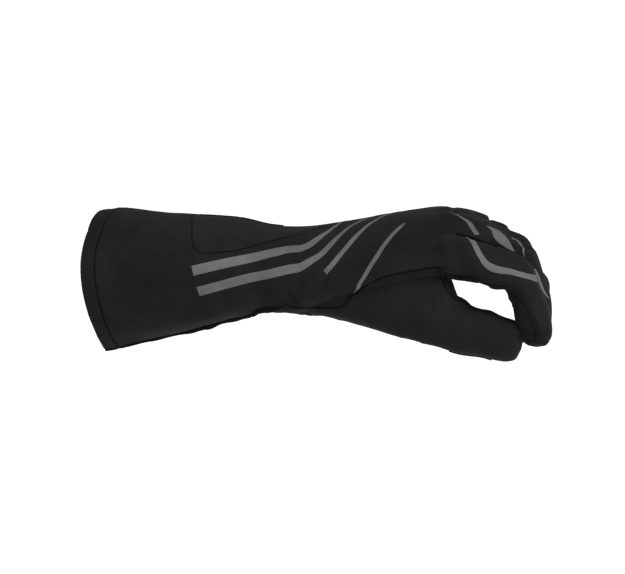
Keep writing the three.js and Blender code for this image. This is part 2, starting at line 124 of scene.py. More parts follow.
def smooth_rings(rings: Sequence[Ring], step: float) -> list[Ring]:
    """Rings at an even step on a smooth curve through the given ones.

    Args:
        rings: the sections of the table.
        step: the distance between two results.

    Returns:
        The dense rings, the first and last as given.
    """
    rows = np.array(
        [
            [
                *r.centre, *r.ahead, *r.side, r.half_side, r.half_up, r.arch, r.cap,
                r.thumb_seam, r.little_seam, r.power,
            ]
            for r in rings
        ]
    )
    gaps = np.maximum(np.linalg.norm(np.diff(rows[:, :3], axis=0), axis=1), 0.5 * MM)
    place = np.concatenate([[0.0], np.cumsum(gaps)])
    slopes = np.gradient(rows, place, axis=0)
    count = max(int(round(place[-1] / step)), len(rings))
    result = []
    for t in np.linspace(0.0, place[-1], count + 1):
        i = min(int(np.searchsorted(place, t, side="right")) - 1, len(rings) - 2)
        gap = place[i + 1] - place[i]
        s = (t - place[i]) / gap
        start, end = (1 + 2 * s) * (1 - s) ** 2, s * s * (3 - 2 * s)
        row = start * rows[i] + end * rows[i + 1]
        row = row + gap * (s * (1 - s) ** 2 * slopes[i] - s * s * (1 - s) * slopes[i + 1])
        ahead = Vector(row[3:6]).normalized()
        side = Vector(row[6:9])
        side = (side - ahead * side.dot(ahead)).normalized()
        low = min(rows[i][9], rows[i + 1][9]), min(rows[i][10], rows[i + 1][10])
        result.append(
            Ring(
                Vector(row[:3]), ahead, side, ahead.cross(side), max(row[9], low[0]), max(row[10], low[1]),
                row[11], min(max(row[12], 0.0), 1.0), *row[13:16],
            )
        )
    return result


def add_tube(bm: BMesh, rings: Sequence[Ring], sides: int) -> None:
    """Adds a closed tube through the rings.

    Args:
        bm: the mesh to add to.
        rings: the tube's sections.
        sides: the number of vertices in a section.
    """
    loops = []
    for ring in rings:
        circle = bmesh.ops.create_circle(bm, cap_ends=False, radius=1.0, segments=sides)["verts"]
        for vert in circle:
            vert.co = ring.point(*squared(vert.co.x, vert.co.y, ring.power))
        loops.append(list({edge for vert in circle for edge in vert.link_edges}))
    for first, second in pairwise(loops):
        bmesh.ops.bridge_loops(bm, edges=first + second)
    for loop in (loops[0], loops[-1]):
        bmesh.ops.contextual_create(bm, geom=loop)


# Sub-assemblies


@dataclass
class Gauntlet:
    """The flared cuff, from its mouth to the wrist.

    Rows of sections: along, flare, lift, yaw, pitch, the power of their squared outline, thumb seam.
    """

    length: float = 107 * MM
    mouth_width: float = 94 * MM
    mouth_depth: float = 77 * MM
    mouth_drop: float = 5 * MM
    hem_length: float = 8.6 * MM
    wrist_width: float = 62 * MM
    wrist_depth: float = 43.5 * MM
    little_seam: float = 112
    sections: tuple[tuple[float, ...], ...] = (
        (1.03, 1.0, -0.8, 0, -6, 2.5, 136),
        (0.8, 0.77, -0.55, -4, -5, 2.4, 147),
        (0.54, 0.52, -0.1, -2, -1, 2.4, 154),
        (0.4, 0.39, 0.2, 0, 0, 2.3, 156),
        (0.27, 0.22, 0.45, 0, 0, 2.3, 156),
        (0.12, 0.02, 0.5, 0, 0, 2.2, 134),
    )

    def rings(self) -> list[Ring]:
        """The sections as rings."""
        return [
            body_ring(
                -along * self.length,
                lift * self.mouth_drop,
                0.5 * mix(self.wrist_width, self.mouth_width, flare),
                0.5 * mix(self.wrist_depth, self.mouth_depth, flare),
                yaw=yaw, pitch=pitch, seams=(seam, self.little_seam), power=power,
            )
            for along, flare, lift, yaw, pitch, power, seam in self.sections
        ]


@dataclass
class Hand:
    """The hand from the wrist to the web of the fingers.

    Rows of sections: along, palm, rise, roll, arch, web, pitch, yaw, thumb seam, little seam.
    """

    length: float = 93 * MM
    palm_depth: float = 30.5 * MM
    knuckle_rise: float = 20 * MM
    knuckle_roll: float = 12
    knuckle_arch: float = 8 * MM
    web_reach: float = 17 * MM
    web_pitch: float = 26
    sections: tuple[tuple[float, ...], ...] = (
        (0.0, 0.0, 0.08, 0.0, 0.0, 0.0, 0.0, 0, 114, 110),
        (0.17, 0.17, 0.13, 0.08, 0.08, 0.0, 0.0, 0, 148, 106),
        (0.36, 0.5, 0.32, 0.3, 0.3, 0.0, 0.0, 0, 134, 102),
        (0.58, 0.82, 0.58, 0.6, 0.6, 0.0, 0.0, 2, 105, 98),
        (0.82, 0.97, 0.79, 0.85, 0.9, 0.0, 0.0, 5, 98, 96),
        (1.0, 1.0, 0.86, 1.0, 1.0, 0.0, 0.45, 8, 102, 94),
        (1.0, 0.92, 0.77, 1.0, 1.0, 0.5, 1.0, 10, 108, 94),
        (1.0, 0.85, 0.58, 1.0, 1.0, 1.0, 1.0, 10, 112, 94),
    )

    def rings(self, gauntlet: Gauntlet, palm_width: float) -> list[Ring]:
        """The sections as rings.

        Args:
            gauntlet: the cuff that the hand goes on from.
            palm_width: the width at the knuckles.

        Returns:
            The rings from the wrist to the web.
        """
        return [
            body_ring(
                along * self.length + web * self.web_reach,
                rise * self.knuckle_rise,
                0.5 * mix(gauntlet.wrist_width, palm_width, palm),
                0.5 * mix(gauntlet.wrist_depth, self.palm_depth, palm),
                yaw=yaw, pitch=pitch * self.web_pitch, roll=roll * self.knuckle_roll,
                arch=arch * self.knuckle_arch, seams=(near, far),
            )
            for along, palm, rise, roll, arch, web, pitch, yaw, near, far in self.sections
        ]


def mix(a: float, b: float, share: float) -> float:
    """The value that share of the way from a to b."""
    return a + (b - a) * share


def body_ring(
    x: float, height: float, half_side: float, half_up: float, yaw: float = 0.0, pitch: float = 0.0,
    roll: float = 0.0, arch: float = 0.0, seams: tuple[float, float] = (150.0, 110.0),
    power: float = SQUARENESS,
) -> Ring:
    """A section of the cuff or hand.

    Args:
        x: its place along the hand.
        height: the height of its centre.
        half_side: half its width.
        half_up: half its depth.
        yaw: degrees that it is turned about Z.
        pitch: degrees that it leans down towards the fingers.
        roll: degrees that the little finger's side hangs down.
        arch: how far its sides are bent down.
        seams: degrees round from the top to the thumb's and the little finger's seam.
        power: 2 for an ellipse, more for a squarer outline.

    Returns:
        The ring.
    """
    level = Vector((-math.sin(math.radians(yaw)), math.cos(math.radians(yaw)), 0.0))
    ahead = Matrix.Rotation(math.radians(pitch), 3, level) @ Vector((level.y, -level.x, 0.0))
    side = Matrix.Rotation(-math.radians(roll), 3, ahead) @ level
    centre = Vector((x, 0.0, height))
    return Ring(centre, ahead, side, ahead.cross(side), half_side, half_up, arch, 0.0, *seams, power)


@dataclass
class Fingers:
    """The four fingers.

    Rows of fingers: name, back, rise, girth, length, first, pitch, curl, tip curl, splay. Rows of rings:
    bone, share, near, turn, size, cap.
    """

    width: float = 21 * MM
    depth: float = 21 * MM
    length: float = 100 * MM
    space: float = 1.0 * MM
    seam_drop: float = 7.0 * MM
    tip_seam_drop: float = -1.5 * MM
    seam_turn: tuple[float, float] = (0.47, 0.66)
    middle_bone: float = 0.52
    end_bone: float = 0.48
    roll_share: float = 0.6
    fingers: tuple[tuple[str | float, ...], ...] = (
        ("index", 0.0, 1.42, 0.98, 0.88, 0.53, 22, 47, 10, -1.5),
        ("middle", 0.0, 1.64, 1.0, 0.975, 0.487, 26.5, 48, 14, -0.5),
        ("ring", 0.04, 1.22, 0.97, 0.91, 0.487, 24.5, 46, 16, 1),
        ("little", 0.12, 0.84, 0.86, 0.74, 0.49, 19, 35, 14, 3),
    )
    sections: tuple[tuple[float, ...], ...] = (
        (0, 0.0, 0, 0, 0.62, 0),
        (0, 0.22, 0, 0, 0.96, 0),
        (0, 0.5, 0, 0, 1.0, 0),
        (0, 1.0, -0.42, 0, 0.99, 0),
        (0, 1.0, 0, 0.5, 1.03, 0),
        (1, 0.0, 0.42, 0, 0.98, 0),
        (1, 1.0, 0, 0.5, 0.95, 0),
        (2, 0.5, 0, 0, 0.9, 0.1),
        (2, 0.78, 0, 0, 0.76, 0.5),
        (2, 0.93, 0, 0, 0.5, 0.85),
        (2, 1.0, 0, 0, 0.2, 1),
    )

    def half_widths(self) -> list[float]:
        """Half the width of each finger."""
        return [0.5 * row[3] * self.width for row in self.fingers]

    def span(self) -> float:
        """The width of the four fingers side by side."""
        return 2 * sum(self.half_widths()) + self.space * (len(self.fingers) - 1)

    def drop(self, share: float | np.ndarray) -> float | np.ndarray:
        """How far under the finger's middle its seams run, at a share of the finger's length."""
        return np.interp(share, self.seam_turn, (self.seam_drop, self.tip_seam_drop))

    def rings(self, hand: Hand) -> list[list[Ring]]:
        """The sections of each finger as rings.

        Args:
            hand: the hand that carries the knuckles.

        Returns:
            A list of rings for each finger.
        """
        across = -self.span() / 2
        result = []
        for row, half in zip(self.fingers, self.half_widths()):
            _, back, rise, girth, share, first, pitch, curl, tip_curl, splay = row
            across += half
            knuckle = Vector(((1 - back) * hand.length, across, rise * hand.knuckle_rise))
            across += half + self.space
            length = share * self.length
            past = 1 - first
            bones = [first * length, past * self.middle_bone * length, past * self.end_bone * length]
            bends = [pitch, pitch + curl, pitch + curl + tip_curl]
            side = Matrix.Rotation(math.radians(splay), 3, "Z") @ Vector((0.0, 1.0, 0.0))
            side = Matrix.Rotation(-math.radians(self.roll_share * hand.knuckle_roll), 3, "X") @ side
            level = side.cross(VERTICAL).normalized()
            result.append(self._finger(knuckle, side, level, bones, bends, girth))
        return result

    def _finger(
        self, knuckle: Vector, side: Vector, level: Vector, bones: list[float], bends: list[float],
        girth: float,
    ) -> list[Ring]:
        """The rings of one finger, bone after bone.

        Args:
            knuckle: where the finger starts.
            side: across the finger, towards the little finger.
            level: straight ahead of the unbent finger.
            bones: the three bones' lengths.
            bends: degrees that each bone is bent down.
            girth: the finger's share of the full width and depth.

        Returns:
            The rings from the knuckle to the tip.
        """

        def ahead_at(degrees: float) -> Vector:
            """The way that the finger runs where it is bent down so far."""
            return Matrix.Rotation(math.radians(degrees), 3, side) @ level

        starts = [knuckle]
        for bone, bend in zip(bones, bends):
            starts.append(starts[-1] + ahead_at(bend) * bone)
        rings = []
        for bone, share, near, turn, size, cap in self.sections:
            distance = share * bones[bone] + near * girth * self.depth
            following = bends[min(bone + 1, len(bends) - 1)]
            ahead = ahead_at(mix(bends[bone], following, turn))
            centre = starts[bone] + ahead_at(bends[bone]) * distance
            half = 0.5 * size * girth
            sizes = (half * self.width, half * self.depth)
            rings.append(Ring(centre, ahead, side, ahead.cross(side), *sizes, cap=cap))
        return rings


@dataclass
class Thumb:
    """The thumb and the ball of the thumb. Rows of sections: along, out, drop, tall, deep, cap."""

    reach: float = 138.2 * MM
    spread: float = 43 * MM
    drop: float = 26 * MM
    width: float = 24 * MM
    depth: float = 21 * MM
    crotch: float = 0.705
    sections: tuple[tuple[float, ...], ...] = (
        (0.06, 0.14, 0.26, 0.85, 0.9, 0),
        (0.18, 0.37, 0.33, 1.04, 1.15, 0),
        (0.36, 0.63, 0.24, 1.25, 1.25, 0),
        (0.56, 0.8, 0.15, 1.81, 1.18, 0),
        (0.665, 0.87, 0.23, 1.76, 1.08, 0),
        (0.705, 0.91, 0.52, 1.24, 1.04, 0),
        (0.77, 0.95, 0.69, 1.05, 1.0, 0),
        (0.86, 0.97, 0.8, 0.99, 1.0, 0),
        (0.925, 1.0, 0.89, 0.95, 0.92, 0.1),
        (0.965, 1.0, 0.94, 0.86, 0.78, 0.5),
        (0.99, 1.0, 0.97, 0.6, 0.52, 0.85),
        (1.0, 1.0, 0.98, 0.2, 0.2, 1),
    )

    def rings(self) -> list[Ring]:
        """The sections as rings, whose side runs up the thumb's broad face."""
        centres = [
            Vector((along * self.reach, -out * self.spread, -drop * self.drop))
            for along, out, drop, *_ in self.sections
        ]
        rings = []
        for i, (row, centre) in enumerate(zip(self.sections, centres)):
            run = (centres[min(i + 1, len(centres) - 1)] - centres[max(i - 1, 0)]).normalized()
            ahead = (run + Vector((1.0, 0.0, 0.0))).normalized()
            up = (THUMB_UP - ahead * THUMB_UP.dot(ahead)).normalized()
            half_side, half_up = 0.5 * row[3] * self.width, 0.5 * row[4] * self.depth
            rings.append(Ring(centre, ahead, up, ahead.cross(up), half_side, half_up, cap=row[5]))
        return rings


@dataclass
class WristPanel:
    """The stretch tongue let into the wrist, seen from above.

    It has a straight far edge and a curved near one, whose points are x and y in mm.
    """

    back: float = -60 * MM
    end: float = 28 * MM
    far_edge: float = 18 * MM
    far_points: int = 12
    near_edge: tuple[tuple[float, float], ...] = (
        (-60, 12), (-57, 5), (-53, -10), (-50, -20), (-47, -25), (-40, -26), (-25, -22), (-11, -13), (0, -6),
        (12, 1), (20, 9), (28, 15),
    )

    def loop(self, outset: float = 0.0) -> list[tuple[float, float]]:
        """The outline as x, y points, anticlockwise from the tongue's back: the near edge, then the far one.

        Args:
            outset: how far outside the outline the points lie.

        Returns:
            The points, in metres.
        """
        points = [Vector(place) * MM for place in self.near_edge]
        for share in np.linspace(0, 1, self.far_points):
            points.append(Vector((self.end - share * (self.end - self.back), self.far_edge)))
        following = points[1:] + points[:1]
        before = points[-1:] + points[:-1]
        runs = [(b - a).normalized() for a, b in zip(before, following)]
        return [(p.x + run.y * outset, p.y - run.x * outset) for p, run in zip(points, runs)]


@dataclass
class GloveForm:
    """The whole glove's form: every sub-assembly's rings, coarse and smooth."""

    gauntlet: Gauntlet
    hand: Hand
    fingers: Fingers
    thumb: Thumb
    panel: WristPanel
    step: float = 2.5 * MM
    wrist_seam_share: float = 0.1

    def __post_init__(self) -> None:
        """Works out the smooth rings once."""
        width = self.fingers.span() + 2 * CAD_WALL
        table = self.gauntlet.rings() + self.hand.rings(self.gauntlet, width)
        self.web = table[-1]
        self.hem = self._hem_ring(table[0], table[1])
        self.mouth = self.hem.pushed(-self.gauntlet.hem_length)
        self.body_rings = smooth_rings([self.mouth, self.hem, *table[1:]], self.step)
        self.thumb_rings = smooth_rings(self.thumb.rings(), self.step)
        self.finger_rings = [smooth_rings(rings, self.step) for rings in self.fingers.rings(self.hand)]
        self.wrist_seam = self.wrist_seam_share * self.hand.length
        self.crotch = self.thumb.crotch * self.thumb.reach

    def _hem_ring(self, first: Ring, second: Ring) -> Ring:
        """The section at the hem's edge, parallel to the mouth.

        Args:
            first: the mouth's section.
            second: the cuff's next section.

        Returns:
            The ring.
        """
        share = self.gauntlet.hem_length / (second.centre - first.centre).x
        return replace(
            first,
            centre=first.centre.lerp(second.centre, share),
            half_side=mix(first.half_side, second.half_side, share),
            half_up=mix(first.half_up, second.half_up, share),
        )


# The photo's view


@dataclass(frozen=True)
class Viewpoint:
    """The camera: a line of sight through a centre, and the photo's pixels at that distance."""

    back: tuple[float, float, float] = (0.2364, -0.8824, 0.4067)
    right: tuple[float, float, float] = (0.9716, 0.2147, -0.0990)
    up: tuple[float, float, float] = (0.0, 0.4186, 0.9081)
    distance: float = 1100 * MM
    pixel: float = 0.58 * MM
    size: tuple[int, int] = (625, 574)
    centre: tuple[float, float] = (22.5, -17.0)
    film: float = 36.0

    def axes(self) -> tuple[Vector, Vector, Vector]:
        """The camera's right, up and back."""
        return Vector(self.right).normalized(), Vector(self.up).normalized(), Vector(self.back).normalized()

    def place(self) -> Vector:
        """Where the camera stands."""
        right, up, back = self.axes()
        aim = (right * self.centre[0] + up * self.centre[1]) * self.pixel
        return aim + back * self.distance

    def ray(self, px: float, py: float) -> Vector:
        """The direction of sight through a pixel of the photo.

        Args:
            px: pixels from the photo's left edge.
            py: pixels from its top edge.

        Returns:
            The direction, of length 1.
        """
        right, up, back = self.axes()
        x = (px - self.size[0] / 2) * self.pixel / self.distance
        y = (self.size[1] / 2 - py) * self.pixel / self.distance
        return (right * x + up * y - back).normalized()

    def add_camera(self) -> None:
        """Puts the camera in the scene."""
        data = bpy.data.cameras.new("camera")
        data.sensor_width = self.film
        data.lens = self.film * self.distance / (self.size[0] * self.pixel)
        camera = bpy.data.objects.new("camera", data)
        right, up, back = self.axes()
        turn = Matrix((right, up, back)).transposed().to_4x4()
        camera.matrix_world = Matrix.Translation(self.place()) @ turn
        bpy.context.scene.collection.objects.link(camera)
        bpy.context.scene.camera = camera


VIEW = Viewpoint()


# Finishes


@dataclass(frozen=True)
class Finish:
    """A cloth's look: colour, uneven patches and fibres, grain and sheen."""

    name: str
    slot: Slot
    colour: float
    tint: tuple[float, float, float] = (1.0, 1.0, 1.04)
    uneven: float = 0.22
    roughness: float = 0.85
    specular: float = 0.05
    sheen: float = 0.02
    sheen_roughness: float = 0.45
    patches: float = 38.0
    fibres: float = 900.0
    fibre_share: float = 0.35
    spread: tuple[float, float] = (0.5, 0.85)
    grain: float = 0.7 * MM
    grain_depth: float = 0.12 * MM
    grain_mix: float = 0.55

    def shade(self, share: float) -> tuple[float, float, float, float]:
        """The colour times a share, as RGBA."""
        return tuple(self.colour * share * t for t in self.tint) + (1.0,)

    def build(self) -> bpy.types.Material:
        """Makes the node material once.

        Returns:
            The material, the same one each time.
        """
        material = bpy.data.materials.get(self.name)
        if material:
            return material
        material = bpy.data.materials.new(self.name)
        material.use_nodes = True
        tree = material.node_tree
        shader = tree.nodes["Principled BSDF"]
        shader.inputs["Roughness"].default_value = self.roughness
        shader.inputs["Specular IOR Level"].default_value = self.specular
        shader.inputs["Sheen Weight"].default_value = self.sheen
        shader.inputs["Sheen Roughness"].default_value = self.sheen_roughness
        place = tree.nodes.new("ShaderNodeTexCoord").outputs["Object"]
        tree.links.new(self._colour(tree, place), shader.inputs["Base Color"])
        tree.links.new(self._grain(tree, place), shader.inputs["Normal"])
        return material

    @staticmethod
    def _texture(
        tree: bpy.types.NodeTree, place: bpy.types.NodeSocket, kind: str, scale: float, **settings: float
    ) -> bpy.types.Node:
        """Adds a texture that reads the piece's own coordinates.

        Args:
            tree: the material's nodes.
            place: the coordinates' socket.
            kind: the texture node's type.
            scale: how many times it repeats in a metre.
            **settings: the values of its other sockets.

        Returns:
            The node.
        """
        node = tree.nodes.new(kind)
        tree.links.new(place, node.inputs["Vector"])
        node.inputs["Scale"].default_value = scale
        for key, value in settings.items():
            node.inputs[key].default_value = value
        return node

    def _colour(self, tree: bpy.types.NodeTree, place: bpy.types.NodeSocket) -> bpy.types.NodeSocket:
        """Adds the colour with its wide patches and fine fibres.

        Args:
            tree: the material's nodes.
            place: the coordinates' socket.

        Returns:
            The colour's socket.
        """
        wide = self._texture(tree, place, "ShaderNodeTexNoise", self.patches, Detail=4.0, Roughness=0.6)
        fine = self._texture(tree, place, "ShaderNodeTexNoise", self.fibres, Detail=2.0, Roughness=0.6)
        blend = tree.nodes.new("ShaderNodeMix")
        blend.data_type = "RGBA"
        factor, darker, lighter = blend.inputs[0], blend.inputs[6], blend.inputs[7]
        darker.default_value = self.shade(1.0 - self.uneven)
        lighter.default_value = self.shade(1.0 + self.uneven)
        both = tree.nodes.new("ShaderNodeMath")
        both.operation = "MULTIPLY_ADD"
        both.inputs[1].default_value = self.fibre_share
        tree.links.new(fine.outputs["Fac"], both.inputs[0])
        tree.links.new(wide.outputs["Fac"], both.inputs[2])
        spread = tree.nodes.new("ShaderNodeMapRange")
        spread.inputs["From Min"].default_value = self.spread[0]
        spread.inputs["From Max"].default_value = self.spread[1]
        tree.links.new(both.outputs[0], spread.inputs["Value"])
        tree.links.new(spread.outputs["Result"], factor)
        return blend.outputs[2]

    def _grain(self, tree: bpy.types.NodeTree, place: bpy.types.NodeSocket) -> bpy.types.NodeSocket:
        """Adds the cloth's fine grain as bump.

        Args:
            tree: the material's nodes.
            place: the coordinates' socket.

        Returns:
            The normal's socket.
        """
        cells = self._texture(tree, place, "ShaderNodeTexVoronoi", 1.0 / self.grain, Randomness=0.55)
        bump = tree.nodes.new("ShaderNodeBump")
        bump.inputs["Strength"].default_value = self.grain_mix
        bump.inputs["Distance"].default_value = self.grain_depth
        tree.links.new(cells.outputs["Distance"], bump.inputs["Height"])
        return bump.outputs["Normal"]


KNIT = Finish("black_knit", Slot.KNIT, 0.0098)
SUEDE = Finish("black_suede", Slot.SUEDE, 0.0074, roughness=0.95, sheen=0.02, grain=0.45 * MM, uneven=0.3)
STRETCH = Finish("black_stretch", Slot.STRETCH, 0.0112, grain=0.5 * MM, grain_depth=0.1 * MM)
BAND = Finish("black_band", Slot.HEM, 0.0092, grain=0.6 * MM)
EDGE = Finish("black_edge", Slot.KNIT, 0.0055, grain=0.6 * MM)
THREAD = Finish("black_thread", Slot.KNIT, 0.0075, specular=0.15, roughness=0.6, grain=0.3 * MM)
# Very dark: the wrist piping's own colour, and also painted shade for the sunk seam lines and finger clefts.
PIPING_AND_SEAM_SHADE = Finish("black_piping_and_seam_shade", Slot.STRETCH, 0.0025, specular=0.03, roughness=0.8, grain=0.4 * MM)
PRINT = Finish("grey_print", Slot.PRINT, 0.098, tint=(1.0, 1.0, 1.0), uneven=0.2, specular=0.1, roughness=0.8)


def add_piece(
    name: str, bm: BMesh, finish: Finish, nodes: Iterable[str] = (), sharp: float = 50.0
) -> bpy.types.Object:
    """Turns a mesh into a finished piece that rides on the glove.

    Args:
        name: the piece's name.
        bm: its closed mesh, freed here.
        finish: its look and slot.
        nodes: the CAD nodes that it takes the place of.
        sharp: edges bent by more degrees than this are drawn sharp.

    Returns:
        The object.
    """
    bmesh.ops.recalc_face_normals(bm, faces=bm.faces[:])
    mesh = bpy.data.meshes.new(name)
    for face in bm.faces:
        face.smooth = True
    bm.to_mesh(mesh)
    bm.free()
    mesh.set_sharp_from_angle(angle=math.radians(sharp))
    mesh.materials.append(finish.build())
    piece = bpy.data.objects.new(name, mesh)
    bpy.context.scene.collection.objects.link(piece)
    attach(piece, BODY)
    if nodes:
        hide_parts(*nodes)
    LOG.info("%s: %d faces", name, len(mesh.polygons))
    return piece


# Measuring the form


class TubeSpace:
    """Finds where points lie about a tube: across, over and how far outside its wall."""

    CHUNK = 8192
    END_SLACK = 2.0 * MM

    def __init__(self, rings: Sequence[Ring], reach: float) -> None:
        """Keeps the rings as arrays.

        Args:
            rings: the tube's dense rings.
            reach: rings whose centre is farther away than this are not looked at, if any is nearer.
        """
        self.rings = rings
        self.reach = reach
        self.centre = np.array([r.centre for r in rings])
        self.ahead = np.array([r.ahead for r in rings])
        self.side = np.array([r.side for r in rings])
        self.up = np.array([r.up for r in rings])
        self.half = np.array([[r.half_side, r.half_up] for r in rings])
        self.arch = np.array([r.arch for r in rings])

    def locate(self, points: np.ndarray) -> tuple[np.ndarray, np.ndarray, np.ndarray, np.ndarray]:
        """Where points lie about the tube, each by its nearest ring.

        Args:
            points: the places, a row each.

        Returns:
            Across and over from the tube's middle, the distance outside its wall, the share of its length.
        """
        across, over, outside, share_along = (np.empty(len(points)) for _ in range(4))
        for start in range(0, len(points), self.CHUNK):
            part = points[start : start + self.CHUNK]
            stop = start + len(part)
            along = np.abs(part @ self.ahead.T - np.sum(self.centre * self.ahead, axis=1))
            away = np.linalg.norm(part[:, None, :] - self.centre[None, :, :], axis=2)
            ring = np.argmin(along + np.where(away > self.reach, 1.0, 0.0), axis=1)
            rows = np.arange(len(part))
            gap = part - self.centre[ring]
            x = np.sum(gap * self.side[ring], axis=1)
            y = np.sum(gap * self.up[ring], axis=1)
            share = x / self.half[ring, 0]
            y = y - self.arch[ring] * (0.5 - share * share)
            rise = y / self.half[ring, 1]
            radius = (np.abs(share) ** SQUARENESS + np.abs(rise) ** SQUARENESS) ** (1 / SQUARENESS)
            wall = (radius - 1.0) * np.min(self.half[ring], axis=1)
            ends = np.maximum(along[rows, ring] - self.END_SLACK, 0.0)
            across[start:stop], over[start:stop] = x, y
            outside[start:stop] = np.maximum(wall, ends)
            share_along[start:stop] = ring / (len(self.rings) - 1)
        return across, over, outside, share_along


Field = Callable[[np.ndarray], np.ndarray]


class Fields:
    """The surfaces that part the glove's panels, each a signed distance about a zero line."""

    BODY_REACH = 75 * MM
    THUMB_REACH = 32 * MM
    FINGER_REACH = 18 * MM

    def __init__(self, form: GloveForm) -> None:
        """Prepares the tube spaces and the side seams' table.

        Args:
            form: the glove's form.
        """
        self.form = form
        self.body = TubeSpace(form.body_rings, self.BODY_REACH)
        self.thumb = TubeSpace(form.thumb_rings, self.THUMB_REACH)
        self.fingers = [TubeSpace(rings, self.FINGER_REACH) for rings in form.finger_rings]
        self.near = np.array([r.edge(r.thumb_seam, -1.0) for r in form.body_rings])
        self.far = np.array([r.edge(r.little_seam, 1.0) for r in form.body_rings])
        self.loop = np.array(form.panel.loop())

    def plane(self, ring: Ring, distance: float = 0.0) -> Field:
        """Past a ring's plane."""
        normal, start = np.array(ring.ahead), ring.centre.dot(ring.ahead) + distance
        return lambda points: points @ normal - start

    def back_side(self, points: np.ndarray) -> np.ndarray:
        """Above the side seams.

        Args:
            points: the places, a row each.

        Returns:
            Their signed distances.
        """
        x = points[:, 0]
        y1, z1 = (np.interp(x, self.near[:, 0], self.near[:, k]) for k in (1, 2))
        y2, z2 = (np.interp(x, self.far[:, 0], self.far[:, k]) for k in (1, 2))
        return points[:, 2] - (z1 + (z2 - z1) * (points[:, 1] - y1) / (y2 - y1))

    def thumb_zone(self, points: np.ndarray) -> np.ndarray:
        """Nearer to the thumb's wall than to the hand's.

        Args:
            points: the places, a row each.

        Returns:
            Their signed distances.
        """
        others = [self.body.locate(points)[2]] + [space.locate(points)[2] for space in self.fingers[:1]]
        zone = np.minimum.reduce(others) - self.thumb.locate(points)[2]
        return np.minimum(zone, points[:, 0] - self.form.crotch)

    def thumb_outer(self, points: np.ndarray) -> np.ndarray:
        """On the outer side of the thumb's two seams."""
        return self.thumb.locate(points)[1]

    def finger_back(self, index: int) -> Field:
        """Above a finger's seams.

        Args:
            index: the finger's number, 0 for the index finger.

        Returns:
            The field.
        """
        space = self.fingers[index]

        def field(points: np.ndarray) -> np.ndarray:
            """How far points lie above the two seams."""
            _, over, _, share = space.locate(points)
            return over + self.form.fingers.drop(share)

        return field

    def nearer_finger(self, index: int) -> Field:
        """Nearer to the finger after this one than to this one."""
        first, second = self.fingers[index], self.fingers[index + 1]
        return lambda points: first.locate(points)[2] - second.locate(points)[2]

    def in_panel(self, points: np.ndarray) -> np.ndarray:
        """Inside the stretch panel's outline, seen from above.

        Args:
            points: the places, a row each.

        Returns:
            Their signed distances.
        """
        flat = points[:, :2]
        inside = np.zeros(len(flat), dtype=bool)
        away = np.full(len(flat), 1.0)
        for a, b in zip(self.loop, np.roll(self.loop, -1, axis=0)):
            run = b - a
            share = np.clip((flat - a) @ run / (run @ run), 0.0, 1.0)
            away = np.minimum(away, np.linalg.norm(flat - (a + share[:, None] * run), axis=1))
            if a[1] != b[1]:
                crosses = (flat[:, 1] < a[1]) != (flat[:, 1] < b[1])
                inside ^= crosses & (flat[:, 0] < a[0] + (flat[:, 1] - a[1]) * run[0] / run[1])
        return np.where(inside, away, -away)


def thicken(bm: BMesh, wall: float) -> None:
    """Gives an open sheet a wall's thickness, inwards.

    Args:
        bm: the sheet, which becomes a closed wall.
        wall: its thickness.
    """
    inwards = {vert: -vert.normal * wall for vert in bm.verts}
    outer = {tuple(vert.co): vert for vert in bm.verts}
    geometry = bm.faces[:] + bm.edges[:] + bm.verts[:]
    made = bmesh.ops.extrude_face_region(bm, geom=geometry, use_keep_orig=True)["geom"]
    for vert in made:
        if isinstance(vert, bmesh.types.BMVert):
            vert.co += inwards[outer[tuple(vert.co)]]


def part_faces(bm: BMesh, old: int, new: int, field: Field, snap: float = 0.1 * MM) -> None:
    """Cuts one label's faces along a field's zero line and relabels those on its positive side.

    Args:
        bm: the mesh, with the face layer "panel".
        old: the label that is cut.
        new: the label given past the line.
        field: the signed distance.
        snap: vertices nearer to the line than this are taken to lie on it.
    """
    layer = bm.faces.layers.int["panel"]
    faces = [face for face in bm.faces if face[layer] == old]
    verts = list({vert for face in faces for vert in face.verts})
    if not verts:
        return
    found = field(np.array([vert.co for vert in verts]))
    found[np.abs(found) < snap] = 0.0
    values = dict(zip(verts, found))
    line = {vert for vert in verts if values[vert] == 0.0}
    for edge in {edge for face in faces for edge in face.edges}:
        a, b = values[edge.verts[0]], values[edge.verts[1]]
        if a * b < 0.0:
            added = bmesh.utils.edge_split(edge, edge.verts[0], a / (a - b))[1]
            values[added] = 0.0
            line.add(added)
    bmesh.ops.connect_verts(bm, verts=list(line))
    for face in bm.faces:
        if face[layer] == old and sum(values.get(vert, 0.0) for vert in face.verts) > 0.0:
            face[layer] = new


# Lines on the skin


@dataclass
class Trail:
    """A line laid on the skin, with the skin's normals."""

    places: list[Vector]
    normals: list[Vector]

    def __len__(self) -> int:
        """The number of places."""
        return len(self.places)

    def length(self) -> float:
        """How long the line is."""
        return sum((b - a).length for a, b in pairwise(self.places))

    def frame(self, i: int) -> tuple[Vector, Vector, Vector]:
        """The line's own directions at a place.

        Args:
            i: the place's number.

        Returns:
            Ahead, side and up.
        """
        last = len(self.places) - 1
        ahead = (self.places[min(i + 1, last)] - self.places[max(i - 1, 0)]).normalized()
        up = (self.normals[i] - ahead * self.normals[i].dot(ahead)).normalized()
        return ahead, up.cross(ahead), up


